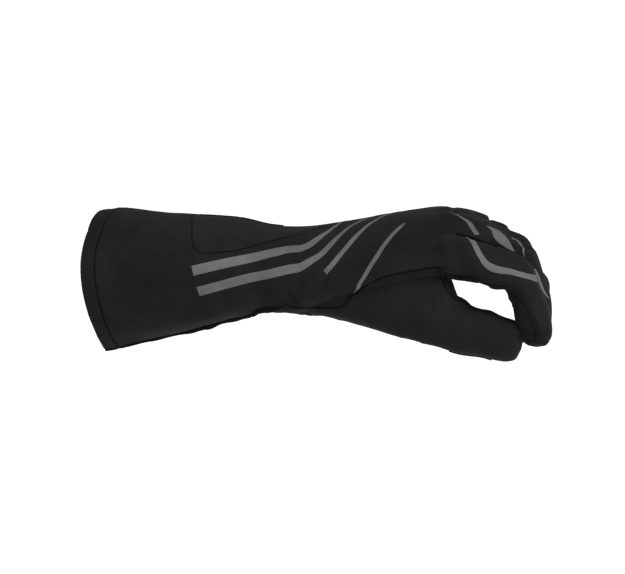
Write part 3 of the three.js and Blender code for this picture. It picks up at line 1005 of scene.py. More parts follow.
@dataclass
class Surface:
    """The finished skin, for laying lines and casting the camera's rays."""

    tree: BVHTree
    tries: int = 12
    passes: int = 2
    stride: float = 2.0 * MM

    def seen(self, px: float, py: float) -> Vector:
        """The place seen at a pixel of the photo.

        Args:
            px: pixels from the photo's left edge.
            py: pixels from its top edge.

        Returns:
            The place on the skin, or the nearest one to a line of sight that passes it by.
        """
        start, ray = VIEW.place(), VIEW.ray(px, py)
        hit = self.tree.ray_cast(start, ray)[0]
        if hit:
            return hit
        place = start + ray * VIEW.distance
        for _ in range(self.tries):
            near = self.tree.find_nearest(place)[0]
            place = start + ray * (near - start).dot(ray)
        return self.tree.find_nearest(place)[0]

    def lay(self, guides: Sequence[Vector], step: float = 0.8 * MM) -> Trail:
        """Lays a smooth line over guide points.

        Args:
            guides: places near the skin.
            step: the distance between two places of the line.

        Returns:
            The trail.
        """
        places = resampled(curved(guides), step)
        for _ in range(self.passes):
            places = [self.tree.find_nearest(p)[0] for p in places]
            inner = [(a + b * 2 + c) / 4 for a, b, c in zip(places, places[1:], places[2:])]
            places = [places[0], *inner, places[-1]]
        found = [self.tree.find_nearest(p) for p in places]
        normals = [n for _, n, _, _ in found]
        for _ in range(self.passes):
            inner = [(a + b * 2 + c).normalized() for a, b, c in zip(normals, normals[1:], normals[2:])]
            normals = [normals[0], *inner, normals[-1]]
        return Trail([p for p, *_ in found], normals)

    def onward(self, guides: Sequence[Vector], distance: float) -> list[Vector]:
        """Adds a straight run over the skin past the last guide.

        Args:
            guides: places on the skin.
            distance: the length of the run.

        Returns:
            The guides with the run.
        """
        result = list(guides)
        heading = (guides[-1] - guides[-2]).normalized()
        for _ in range(int(distance / self.stride)):
            place, normal, _, _ = self.tree.find_nearest(result[-1] + heading * self.stride)
            moved = place - result[-1]
            heading = (moved - normal * moved.dot(normal)).normalized()
            result.append(place)
        return result


def curved(guides: Sequence[Vector], per: int = 12) -> list[Vector]:
    """A smooth curve through the guides.

    Args:
        guides: the places that it passes.
        per: the number of points from one guide to the next.

    Returns:
        The curve's points.
    """
    if len(guides) < 3:
        return list(guides)
    ends = [guides[0] * 2 - guides[1], *guides, guides[-1] * 2 - guides[-2]]
    result = []
    for a, b, c, d in zip(ends, ends[1:], ends[2:], ends[3:]):
        for k in range(per):
            t = k / per
            bend = (a * 2 - b * 5 + c * 4 - d) * t**2
            twist = (b * 3 - a - c * 3 + d) * t**3
            result.append(0.5 * (b * 2 + (c - a) * t + bend + twist))
    return [*result, guides[-1]]


def resampled(line: Sequence[Vector], step: float) -> list[Vector]:
    """The line at even steps.

    Args:
        line: its points.
        step: about how far apart the new points lie.

    Returns:
        The new points.
    """
    rows = np.array(line)
    place = np.concatenate([[0.0], np.cumsum(np.linalg.norm(np.diff(rows, axis=0), axis=1))])
    count = max(int(round(place[-1] / step)), 2)
    even = np.linspace(0.0, place[-1], count + 1)
    return [Vector(row) for row in np.stack([np.interp(even, place, rows[:, k]) for k in range(3)], axis=1)]


# The skin


def bell(away: np.ndarray, width: float) -> np.ndarray:
    """1 on a line, falling away within a width of it."""
    return np.exp(-((away / width) ** 2))


@dataclass(frozen=True)
class Fold:
    """A fold or groove of the cloth, along pixels of the photo: height and width in mm."""

    name: str
    pixels: tuple[tuple[float, float], ...]
    height: float
    width: float


@dataclass(frozen=True)
class SeamPulls:
    """How far the seams pull the cloth out or in, how wide, and from where to where along X."""

    cuff_end: float = 12 * MM
    cuff_fade: float = 50 * MM
    cuff_rise: float = 0.7 * MM
    cuff_width: float = 6.0 * MM
    cuff_step: float = 1.5 * MM
    corner_rise: float = 1.6 * MM
    corner_place: float = -108 * MM
    corner_length: float = 14 * MM
    lap_start: float = 36 * MM
    lap_end: float = 95 * MM
    lap_rise: float = 0.55 * MM
    lap_width: float = 2.6 * MM
    lap_step: float = 1.0 * MM
    lap_sink: float = 0.75 * MM
    lap_below: float = 0.6 * MM
    lap_groove: float = 1.1 * MM
    lap_reach: float = 3 * MM
    hem_sink: float = 0.5 * MM
    hem_end: float = -80 * MM
    panel_sink: float = 0.45 * MM
    groove: float = 0.9 * MM


@dataclass(frozen=True)
class Wave:
    """Slow unevenness of the cloth: how long and high its waves are, and a shift that tells them apart."""

    length: float
    height: float
    shift: float

    def heights(self, places: np.ndarray) -> np.ndarray:
        """How high the waves are.

        Args:
            places: the skin's vertices, a row each.

        Returns:
            A height for each vertex.
        """
        shift = Vector((self.shift, self.shift * 0.7, -self.shift))
        return np.array([noise.noise(Vector(p) * (1.0 / self.length) + shift) for p in places]) * self.height


@dataclass
class Skin:
    """The whole outer surface: one smooth mesh with its folds, pulled seams and slow waves."""

    form: GloveForm
    fields: Fields
    voxel: float = 1.0 * MM
    thinned: float = 0.6 * MM
    thumb_growth: float = 0.35 * MM
    smooth_factor: float = 0.5
    smooth_steps: int = 6
    merged: float = 0.02 * MM
    past_mouth: float = 4 * MM
    body_sides: int = 72
    limb_sides: int = 40
    fold_step: float = 1.0 * MM
    pulls: SeamPulls = SeamPulls()
    waves: tuple[Wave, ...] = (Wave(26 * MM, 0.45 * MM, 3.1), Wave(8 * MM, 0.12 * MM, 7.7))
    folds: tuple[Fold, ...] = (
        Fold("pit of the wrist", ((286, 292), (291, 299), (297, 304)), -3.0, 2.6),
        Fold("groove past the pit", ((298, 276), (299, 292), (303, 303)), -1.1, 2.6),
        Fold("upright fold of the wrist", ((307, 276), (308, 288), (309, 300)), 1.8, 2.6),
        Fold("upright groove of the wrist", ((324, 268), (323, 280), (321, 292)), -1.8, 2.4),
        Fold("low upright fold", ((316, 270), (316, 284), (315, 296)), 0.5, 2.6),
        Fold("thumb's first wrinkle", ((437, 275), (438, 292), (436, 310)), 1.0, 1.8),
        Fold("groove past it", ((443, 280), (444, 296), (442, 312)), -0.9, 1.6),
        Fold("thumb's second wrinkle", ((448, 300), (450, 315), (446, 330)), 0.9, 1.8),
        Fold("groove past that", ((454, 304), (456, 318), (453, 332)), -0.6, 1.6),
        Fold("groove before the wrinkles", ((428, 300), (428, 316), (424, 332)), -0.35, 2.0),
        Fold("fold behind the index knuckle", ((441, 236), (446, 252), (450, 268)), 0.9, 2.4),
        Fold("groove of the index knuckle", ((452, 240), (459, 256), (463, 272)), -1.0, 2.6),
        Fold("fold past the index knuckle", ((470, 246), (476, 262), (478, 276)), 0.4, 2.4),
        Fold("inner bend of the index finger", ((500, 291), (504, 296), (508, 305), (511, 314)), -2.0, 5.5),
        Fold("cuff's underside", ((238, 314), (262, 309), (285, 308), (305, 309), (320, 308)), 2.4, 8.0),
        Fold("flat of the middle finger's back", ((514, 236), (526, 242), (536, 252)), -3.4, 5.5),
        Fold("bend of the middle finger", ((545, 272), (549, 282), (551, 293)), 2.0, 5.0),
        Fold("flat past the knuckles", ((474, 212), (482, 215), (489, 219)), -1.8, 4.0),
        Fold("index fingertip", ((535, 342), (542, 341), (548, 337)), 2.2, 4.5),
        Fold("fingertip's inner side", ((525, 339), (528, 342), (531, 344)), -2.0, 3.5),
        Fold("swelling under the wrist", ((299, 312), (306, 313), (313, 315)), 2.2, 4.5),
        Fold("mouth's upper corner", ((90, 232), (100, 218), (116, 211)), 3.4, 11.0),
        Fold("mouth's lower side", ((88, 318), (97, 337)), -1.2, 8.0),
        Fold("back of the index finger", ((488, 246), (500, 251), (512, 255), (522, 260)), 1.8, 4.5),
        Fold("thumb's upper edge", ((458, 301), (468, 305), (479, 310), (489, 314)), 2.4, 3.0),
        Fold("hollow past the wrist", ((320, 315), (334, 319), (350, 324)), -1.4, 8.0),
        Fold("hollow under the ball", ((402, 341), (412, 344), (424, 346)), -1.0, 8.0),
        Fold("thumb's underside", ((440, 349), (460, 354), (480, 357)), 0.8, 7.0),
        Fold("first knuckle", ((440, 210), (446, 209), (450, 210)), 1.0, 3.6),
        Fold("second knuckle", ((457, 211), (463, 211), (470, 214)), 1.1, 3.6),
        Fold("dip between the knuckles", ((452, 206), (454, 210), (455, 216)), -1.2, 1.7),
        Fold("groove between two fingers", ((450, 233), (462, 235.5), (480, 240.5), (497, 246.5)), -1.5, 1.6),
        Fold("groove of the fingertip", ((529, 306), (533, 320), (537, 334), (540, 346)), -0.9, 1.5),
        Fold("ridge of the fingertip", ((533, 304), (537, 318), (541, 331), (544, 344)), 0.7, 1.4),
        Fold("panel's pulled seam", ((270, 241), (283, 239.5), (297, 237)), -0.6, 1.1),
        Fold("panel's pulled end", ((298, 232), (310, 230.5), (319, 228)), -0.9, 1.3),
        Fold("hollow of the panel", ((270, 226), (292, 228), (312, 226)), -0.8, 7.0),
        Fold("slack below the panel", ((275, 252), (284, 262), (290, 275)), -0.5, 3.5),
        Fold("first wrinkle of the bend", ((516, 290), (523, 297), (530, 306)), -0.9, 1.8),
        Fold("ridge of the bend", ((514, 298), (521, 305), (528, 314)), 0.7, 1.6),
        Fold("last wrinkle of the bend", ((518, 308), (524, 314), (529, 321)), -0.6, 1.6),
        Fold("panel's upper rib", ((262, 232), (280, 231), (300, 228)), 0.35, 1.3),
        Fold("panel's upper groove", ((260, 236), (278, 235), (298, 232)), -0.35, 1.3),
        Fold("panel's lower rib", ((258, 240), (274, 239), (290, 237)), 0.3, 1.3),
        Fold("panel's back groove", ((282, 226), (296, 226), (308, 224)), -0.4, 1.4),
    )

    def build(self) -> BMesh:
        """Makes the folded skin.

        Returns:
            A closed mesh whose faces point outwards.
        """
        mesh = self._blended()
        count = len(mesh.vertices)
        places, normals = np.empty(count * 3), np.empty(count * 3)
        mesh.vertices.foreach_get("co", places)
        mesh.vertex_normals.foreach_get("vector", normals)
        places, normals = places.reshape(-1, 3), normals.reshape(-1, 3)
        places = places + normals * self.thinned
        lift = self._folds(places) + self._seam_pulls(places)
        lift += sum(wave.heights(places) for wave in self.waves)
        places = places + normals * lift[:, None]
        mesh.vertices.foreach_set("co", places.ravel())
        bm = bmesh.new()
        bm.from_mesh(mesh)
        bpy.data.meshes.remove(mesh)
        bmesh.ops.remove_doubles(bm, verts=bm.verts[:], dist=self.merged)
        bmesh.ops.recalc_face_normals(bm, faces=bm.faces[:])
        return bm

    def _blended(self) -> bpy.types.Mesh:
        """The tubes of body, thumb and fingers melted into one smooth mesh."""
        bm = bmesh.new()
        body = self.form.body_rings
        body = [body[0].pushed(-self.past_mouth), *body]
        thumb_growth = self.thumb_growth - self.thinned
        add_tube(bm, [ring.grown(-self.thinned) for ring in body], self.body_sides)
        add_tube(bm, [ring.grown(thumb_growth) for ring in self.form.thumb_rings], self.limb_sides)
        for rings in self.form.finger_rings:
            add_tube(bm, [ring.grown(-self.thinned) for ring in rings], self.limb_sides)
        bmesh.ops.recalc_face_normals(bm, faces=bm.faces[:])
        rough = bpy.data.meshes.new("rough")
        bm.to_mesh(rough)
        bm.free()
        holder = bpy.data.objects.new("rough", rough)
        bpy.context.scene.collection.objects.link(holder)
        remesh = holder.modifiers.new("remesh", "REMESH")
        remesh.mode = "VOXEL"
        remesh.voxel_size = self.voxel
        smooth = holder.modifiers.new("smooth", "SMOOTH")
        smooth.factor = self.smooth_factor
        smooth.iterations = self.smooth_steps
        evaluated = holder.evaluated_get(bpy.context.evaluated_depsgraph_get())
        mesh = bpy.data.meshes.new_from_object(evaluated)
        bpy.data.objects.remove(holder)
        bpy.data.meshes.remove(rough)
        return mesh

    def _seam_pulls(self, places: np.ndarray) -> np.ndarray:
        """The cuff's soft side edges, the lap of the hand's seam, and the sunk hem and panel seams.

        Args:
            places: the skin's vertices, a row each.

        Returns:
            How far each vertex is pulled out.
        """
        pulls, fields = self.pulls, self.fields
        x = places[:, 0]
        total = np.zeros(len(places))
        for line in (fields.near, fields.far):
            away = self._distance(places, line[line[:, 0] < pulls.cuff_end], pulls.cuff_step)
            fade = np.clip((pulls.cuff_end - x) / pulls.cuff_fade, 0.0, 1.0)
            corner = bell(x - pulls.corner_place, pulls.corner_length)
            total += (pulls.cuff_rise * fade + pulls.corner_rise * corner) * bell(away, pulls.cuff_width)
        lapped = fields.near[(fields.near[:, 0] > pulls.lap_start) & (fields.near[:, 0] < pulls.lap_end)]
        away = self._distance(places, lapped, pulls.lap_step)
        above = fields.back_side(places)
        total += pulls.lap_rise * bell(away, pulls.lap_width) * (above > 0)
        total -= pulls.lap_sink * bell(above + pulls.lap_below, pulls.lap_groove) * (away < pulls.lap_reach)
        hem = fields.plane(self.form.hem)(places)
        total -= pulls.hem_sink * bell(hem, pulls.groove) * (x < pulls.hem_end)
        total -= pulls.panel_sink * bell(fields.in_panel(places), pulls.groove) * (above > 0)
        return total

    @staticmethod
    def _distance(places: np.ndarray, line: np.ndarray, step: float) -> np.ndarray:
        """How far each place is from a line.

        Args:
            places: the places, a row each.
            line: the line's corners, a row each.
            step: how far apart the line's looked-at points lie.

        Returns:
            The distances.
        """
        away = np.full(len(places), 1.0)
        for point in np.array(resampled([Vector(corner) for corner in line], step)):
            away = np.minimum(away, np.linalg.norm(places - point, axis=1))
        return away

    def _folds(self, places: np.ndarray) -> np.ndarray:
        """The folds' heights.

        Args:
            places: the skin's vertices, a row each.

        Returns:
            How far the folds lift each vertex.
        """
        bm = bmesh.new()
        add_tube(bm, self.form.body_rings, self.body_sides)
        for rings in (self.form.thumb_rings, *self.form.finger_rings):
            add_tube(bm, rings, self.limb_sides)
        surface = Surface(BVHTree.FromBMesh(bm))
        bm.free()
        total = np.zeros(len(places))
        for fold in self.folds:
            line = np.array(resampled(curved([surface.seen(*p) for p in fold.pixels]), self.fold_step))
            LOG.debug("%s: %d places", fold.name, len(line))
            away = np.full(len(places), 1.0)
            ends = np.zeros(len(places))
            for k, place in enumerate(line):
                gap = np.linalg.norm(places - place, axis=1)
                closer = gap < away
                away = np.where(closer, gap, away)
                ends = np.where(closer, math.sin(math.pi * (k + 0.5) / len(line)), ends)
            total += fold.height * MM * bell(away, fold.width * MM) * np.sqrt(ends)
        return total


class Panel(Enum):
    """The glove's panels: the numbers of their labels, in the face layer."""

    OUTSIDE = 0
    CUFF_HEM = 1
    GAUNTLET_BACK = 2
    GAUNTLET_PALM = 3
    WRIST_STRETCH_PANEL = 4
    HAND_BACK = 5
    PALM = 6
    THUMB_OUTER = 7
    THUMB_INNER = 8
    INDEX_FINGER_BACK = 10
    MIDDLE_FINGER_BACK = 11
    RING_FINGER_BACK = 12
    LITTLE_FINGER_BACK = 13
    INDEX_FINGER_PALM = 20
    MIDDLE_FINGER_PALM = 21
    RING_FINGER_PALM = 22
    LITTLE_FINGER_PALM = 23
    PAST_WEB = 30
    THUMB = 40

    def finish(self) -> Finish:
        """The cloth of this panel."""
        if self is Panel.CUFF_HEM:
            return BAND
        if self is Panel.WRIST_STRETCH_PANEL:
            return STRETCH
        fingers = range(Panel.INDEX_FINGER_PALM.value, Panel.LITTLE_FINGER_PALM.value + 1)
        if self in (Panel.PALM, Panel.THUMB_INNER) or self.value in fingers:
            return SUEDE
        return KNIT


@dataclass
class PanelCutter:
    """Cuts the skin into the glove's panels and makes each a cloth wall."""

    form: GloveForm
    fields: Fields
    web_margin: float = 1.0 * MM
    hem_wall: float = 2.2 * MM

    def label(self, bm: BMesh) -> None:
        """Labels every face of the skin with its panel, cutting along the seams.

        Args:
            bm: the skin.
        """
        layer = bm.faces.layers.int.new("panel")
        fields, form = self.fields, self.form
        hand = Panel.HAND_BACK.value
        for face in bm.faces:
            face[layer] = Panel.OUTSIDE.value
        part_faces(bm, Panel.OUTSIDE.value, hand, fields.plane(form.mouth))
        part_faces(bm, hand, Panel.THUMB.value, fields.thumb_zone)
        past = Panel.PAST_WEB.value
        part_faces(bm, hand, past, fields.plane(form.web, self.web_margin))
        first = Panel.INDEX_FINGER_BACK.value
        for face in bm.faces:
            if face[layer] == past:
                face[layer] = first
        for i in range(len(form.finger_rings) - 1):
            part_faces(bm, first + i, first + i + 1, fields.nearer_finger(i))
        palm_side = Panel.INDEX_FINGER_PALM.value
        for i in range(len(form.finger_rings)):
            back = fields.finger_back(i)
            part_faces(bm, first + i, palm_side + i, lambda points, back=back: -back(points))
        part_faces(bm, hand, Panel.PALM.value, lambda points: -fields.back_side(points))
        wrist = form.wrist_seam
        part_faces(bm, hand, Panel.GAUNTLET_BACK.value, lambda points: wrist - points[:, 0])
        part_faces(bm, Panel.PALM.value, Panel.GAUNTLET_PALM.value, lambda points: wrist - points[:, 0])
        part_faces(bm, Panel.PALM.value, Panel.THUMB_OUTER.value, fields.thumb_outer)
        part_faces(bm, Panel.THUMB.value, Panel.THUMB_INNER.value, lambda points: -fields.thumb_outer(points))
        for face in bm.faces:
            if face[layer] == Panel.THUMB.value:
                face[layer] = Panel.THUMB_OUTER.value
        hem = fields.plane(form.hem)
        for panel in (Panel.GAUNTLET_BACK, Panel.GAUNTLET_PALM):
            part_faces(bm, panel.value, Panel.CUFF_HEM.value, lambda points: -hem(points))
        for panel in (Panel.GAUNTLET_BACK, Panel.HAND_BACK):
            part_faces(bm, panel.value, Panel.WRIST_STRETCH_PANEL.value, fields.in_panel)

    def build(self, skin: BMesh) -> None:
        """Makes one piece for each panel.

        Args:
            skin: the labelled skin.
        """
        layer = skin.faces.layers.int["panel"]
        counts = {}
        for face in skin.faces:
            counts[face[layer]] = counts.get(face[layer], 0) + 1
        LOG.info("faces of each label: %s", counts)
        for panel in Panel:
            if not counts.get(panel.value) or panel in (Panel.OUTSIDE, Panel.PAST_WEB, Panel.THUMB):
                continue
            bm = skin.copy()
            marks = bm.faces.layers.int["panel"]
            others = [face for face in bm.faces if face[marks] != panel.value]
            bmesh.ops.delete(bm, geom=others, context="FACES")
            wall = self.hem_wall if panel is Panel.CUFF_HEM else FABRIC_WALL
            thicken(bm, wall)
            add_piece(f"{panel.name.lower()}_cloth", bm, panel.finish(), (panel.name.lower(),))


# Seams and stitches


@dataclass(frozen=True)
class Edge:
    """The shape of a turned-out edge, a piping or a sunk dark line that paints the shade of a seam.

    rise and fall are the numbers of places over which it grows from its stub and shrinks to it again, and
    sink is how far it reaches into the skin.
    """

    half: float
    height: float
    sway: float = 0.0
    rise: float = 6.0
    fall: float = 6.0
    sink: float = 0.3 * MM
    stub: float = 0.35


@dataclass
class Seams:
    """The turned-out seam edges, the sunk dark lines of painted seam shade, the stitches and the wrist
    panel's piping.

    Their lines on the thumb's side are pixels of the photo: the thumb's crotch, the index finger's web, the
    hand's lapped seam with its stitches, and the clefts between the fingers.
    """

    form: GloveForm
    surface: Surface
    cuff_near: Edge = Edge(1.15 * MM, 2.3 * MM, 0.9 * MM, 90, 14)
    cuff_far: Edge = Edge(1.15 * MM, 2.2 * MM, 0.6 * MM, 60)
    thumb_upper: Edge = Edge(1.4 * MM, 1.6 * MM, 0.4 * MM, 26, 30)
    thumb_lower: Edge = Edge(0.7 * MM, 0.5 * MM, 0.2 * MM)
    finger_side: Edge = Edge(0.9 * MM, 1.7 * MM, 0.4 * MM, 6, 70)
    finger_web: Edge = Edge(1.5 * MM, 2.4 * MM, 0.3 * MM)
    piping: Edge = Edge(0.9 * MM, 0.9 * MM)
    # The sunk, lapped and cleft shapes are the dark cords of painted seam shade.
    sunk: Edge = Edge(0.35 * MM, 0.3 * MM, sink=0.35 * MM)
    lapped: Edge = Edge(0.5 * MM, 0.3 * MM, sink=0.35 * MM)
    cleft_shade: Edge = Edge(0.55 * MM, 0.3 * MM, sink=0.35 * MM)
    sway_waves: tuple[float, float] = (150, 40)
    lift_waves: tuple[float, float] = (110, 60)
    lift_share: float = 1.6
    bead_sides: int = 10
    long_step: float = 1.0 * MM
    finger_step: float = 0.9 * MM
    fine_step: float = 0.7 * MM
    cuff_end: float = 12 * MM
    past_crotch: float = 4 * MM
    past_web: float = 3 * MM
    lowest_seam: float = 0.8
    piping_start: float = 4 * MM
    piping_end: float = -4 * MM
    piping_step: float = 5 * MM
    hem_stitched: float = 1.6 * MM
    panel_stitched: float = 1.4 * MM
    above: float = 100 * MM
    stitch: float = 2.1 * MM
    stitch_gap: float = 1.1 * MM
    thread: float = 0.22 * MM
    thread_lift: float = 0.1 * MM
    thread_sink: float = 0.25 * MM
    thread_sides: int = 6
    stitch_shape: tuple[tuple[float, float], ...] = ((0.0, 0.3), (0.2, 1.0), (0.5, 1.1), (0.8, 1.0),
    (1.0, 0.3))
    crotch: tuple[tuple[float, float], ...] = ((441, 267), (444, 279), (448, 289), (456, 298))
    index_web: tuple[tuple[float, float], ...] = ((446, 273), (455, 275.5), (466, 277), (480, 279))
    lap: tuple[tuple[float, float], ...] = (
        (284, 303.5), (290, 306), (297, 308), (308, 308), (320, 308), (339, 307.5), (348, 301.5), (356, 293),
        (366, 286), (380, 278.5), (405, 272.5), (433, 268), (446, 268.5),
    )
    clefts: tuple[tuple[tuple[float, float], ...], ...] = (
        ((456, 233.5), (470, 237.3), (481, 241.2), (489, 243.9), (497, 247)),
        ((492, 219.5), (499, 223), (507, 227)),
    )
    lap_stitches: tuple[tuple[float, float], ...] = ((372, 276.5), (391, 272), (416, 267), (440, 263))

    def bead(self, bm: BMesh, trail: Trail, edge: Edge, seed: float = 0.0) -> None:
        """Adds a rounded edge that stands on the skin along a trail.

        Args:
            bm: the mesh to add to.
            trail: the line on the skin.
            edge: the edge's shape.
            seed: shifts its swaying.
        """
        rings = []
        last = len(trail) - 1
        for i, place in enumerate(trail.places):
            ahead, side, up = trail.frame(i)
            share = min(1.0, edge.stub + i / edge.rise, edge.stub + (last - i) / edge.fall)
            swaying = Vector((place.x * self.sway_waves[0], seed, place.z * self.sway_waves[1]))
            lifting = Vector((seed, place.x * self.lift_waves[0], place.y * self.lift_waves[1]))
            sway = noise.noise(swaying) * edge.sway
            lift = noise.noise(lifting) * edge.sway * self.lift_share
            tall = max((edge.height + lift) * share, edge.half)
            centre = place + up * (tall / 2 - edge.sink) + side * sway
            rings.append(Ring(centre, ahead, side, up, edge.half * share, tall / 2 + edge.sink))
        add_tube(bm, rings, self.bead_sides)

    def seen_trail(self, pixels: Sequence[tuple[float, float]]) -> Trail:
        """A trail through pixels of the photo."""
        return self.surface.lay([self.surface.seen(*pixel) for pixel in pixels])

    def build(self) -> None:
        """Makes the seams' pieces, one after another."""
        self._side_edges()
        self._thumb_edges()
        self._finger_edges()
        self._wrist_piping()
        self._lines_and_stitches()

    def _side_edges(self) -> None:
        """The turned-out edges of the two side seams."""
        body = self.form.body_rings
        cuff = [ring for ring in body if ring.centre.x < self.cuff_end]
        near = [ring.edge(ring.thumb_seam, -1.0) for ring in cuff[::5]]
        far = [ring.edge(ring.little_seam, 1.0) for ring in body[::5]]
        bm = bmesh.new()
        self.bead(bm, self.surface.lay(near, self.long_step), self.cuff_near, 0.5)
        self.bead(bm, self.surface.lay(far, self.long_step), self.cuff_far, 1.5)
        add_piece("side_seam_edges", bm, EDGE)

    def _thumb_edges(self) -> None:
        """The turned-out edges above and below the thumb."""
        bm = bmesh.new()
        start = self.form.crotch + self.past_crotch
        past = [ring for ring in self.form.thumb_rings if ring.centre.x > start]
        web = [self.surface.seen(*pixel) for pixel in self.crotch]
        upper = self.surface.lay([*web, *(ring.edge(90, 1.0) for ring in past[:-1:2])])
        self.bead(bm, upper, self.thumb_upper, 2.5)
        lower = self.surface.lay([ring.edge(90, -1.0) for ring in past[:-4:3]], self.long_step)
        self.bead(bm, lower, self.thumb_lower, 3.5)
        add_piece("thumb_seam_edges", bm, EDGE)

    def _finger_edges(self) -> None:
        """The turned-out edges on both sides of each finger, and the one of the index finger's web."""
        web = self.form.web
        bm = bmesh.new()
        for index, rings in enumerate(self.form.finger_rings):
            for sign in (-1.0, 1.0):
                guides = [
                    self.finger_edge(ring, sign, i / (len(rings) - 1))
                    for i, ring in enumerate(rings)
                    if (ring.centre - web.centre).dot(web.ahead) > self.past_web
                ]
                trail = self.surface.lay(guides[:-2:2], self.finger_step)
                self.bead(bm, trail, self.finger_side, index + sign)
        self.bead(bm, self.seen_trail(self.index_web), self.finger_web, 8.5)
        add_piece("finger_seam_edges", bm, EDGE)

    def _wrist_piping(self) -> None:
        """The piping along the wrist panel's far edge."""
        panel = self.form.panel
        places = np.arange(panel.back + self.piping_start, self.piping_end, self.piping_step)
        bm = bmesh.new()
        self.bead(bm, self._from_above([(x, panel.far_edge) for x in places]), self.piping)
        add_piece("wrist_piping", bm, PIPING_AND_SEAM_SHADE)

    def _lines_and_stitches(self) -> None:
        """The sunk dark lines of painted shade in the seams and finger clefts, and the stitches of the hem,
        wrist panel and lapped seam.
        """
        panel = self.form.panel
        loop = panel.loop()
        # Dark cords laid in the seams' grooves and the clefts between the fingers: painted shade.
        lines = [
            (self._round(self.form.hem), self.sunk),
            (self._from_above([*loop, loop[0]]), self.sunk),
            (self.seen_trail(self.lap), self.lapped),
            *((self.seen_trail(pixels), self.cleft_shade) for pixels in self.clefts),
        ]
        bm = bmesh.new()
        for trail, edge in lines:
            self.bead(bm, trail, edge)
        add_piece("painted_seam_shade_lines", bm, PIPING_AND_SEAM_SHADE)
        near = panel.loop(self.panel_stitched)[1 : len(panel.near_edge) - 1]
        stitched = (
            self._round(self.form.hem.pushed(-self.hem_stitched)),
            self._from_above(near),
            self.seen_trail(self.lap_stitches),
        )
        bm = bmesh.new()
        for trail in stitched:
            self.stitches(bm, trail)
        add_piece("stitches", bm, THREAD)

    def _round(self, ring: Ring) -> Trail:
        """A trail round a section of the cuff."""
        return self.surface.lay([ring.edge(angle, 1.0) for angle in range(0, 361, 10)], self.fine_step)

    def _from_above(self, loop: Sequence[tuple[float, float]]) -> Trail:
        """A trail on the back of the glove.

        Args:
            loop: x and y of a line seen from above.

        Returns:
            The trail.
        """
        tree = self.surface.tree
        places = [tree.ray_cast(Vector((x, y, self.above)), -VERTICAL)[0] for x, y in loop]
        return self.surface.lay(places, self.fine_step)

    def finger_edge(self, ring: Ring, sign: float, share: float) -> Vector:
        """The place of a finger's seam on a ring.

        Args:
            ring: the finger's section.
            sign: -1 for the thumb's side, 1 for the little finger's.
            share: the ring's share of the finger's length.

        Returns:
            The place.
        """
        over = -min(self.form.fingers.drop(share) / ring.half_up, self.lowest_seam)
        across = (1.0 - abs(over) ** SQUARENESS) ** (1 / SQUARENESS)
        return ring.point(sign * across, over)

    def stitches(self, bm: BMesh, trail: Trail) -> None:
        """Adds a row of stitches along a trail.

        Args:
            bm: the mesh to add to.
            trail: the line on the skin, its places closer than a stitch.
        """
        step = trail.length() / (len(trail) - 1)
        long = max(int(round(self.stitch / step)), 2)
        pitch = long + max(int(round(self.stitch_gap / step)), 1)
        for start in range(0, len(trail) - long, pitch):
            rings = []
            for share, size in self.stitch_shape:
                i = start + int(round(share * long))
                ahead, side, up = trail.frame(i)
                sink = (2 * share - 1.0) ** 2 * self.thread_sink
                centre = trail.places[i] + up * (self.thread_lift - sink)
                rings.append(Ring(centre, ahead, side, up, self.thread * size, self.thread * size))
            add_tube(bm, rings, self.thread_sides)


@dataclass(frozen=True)
class Stripe:
    """A printed stripe. Rows: x, y and width in the photo's pixels; widest and onward in mm."""

    name: str
    rows: tuple[tuple[float, float, float], ...]
    widest: float
    onward: float = 0.0


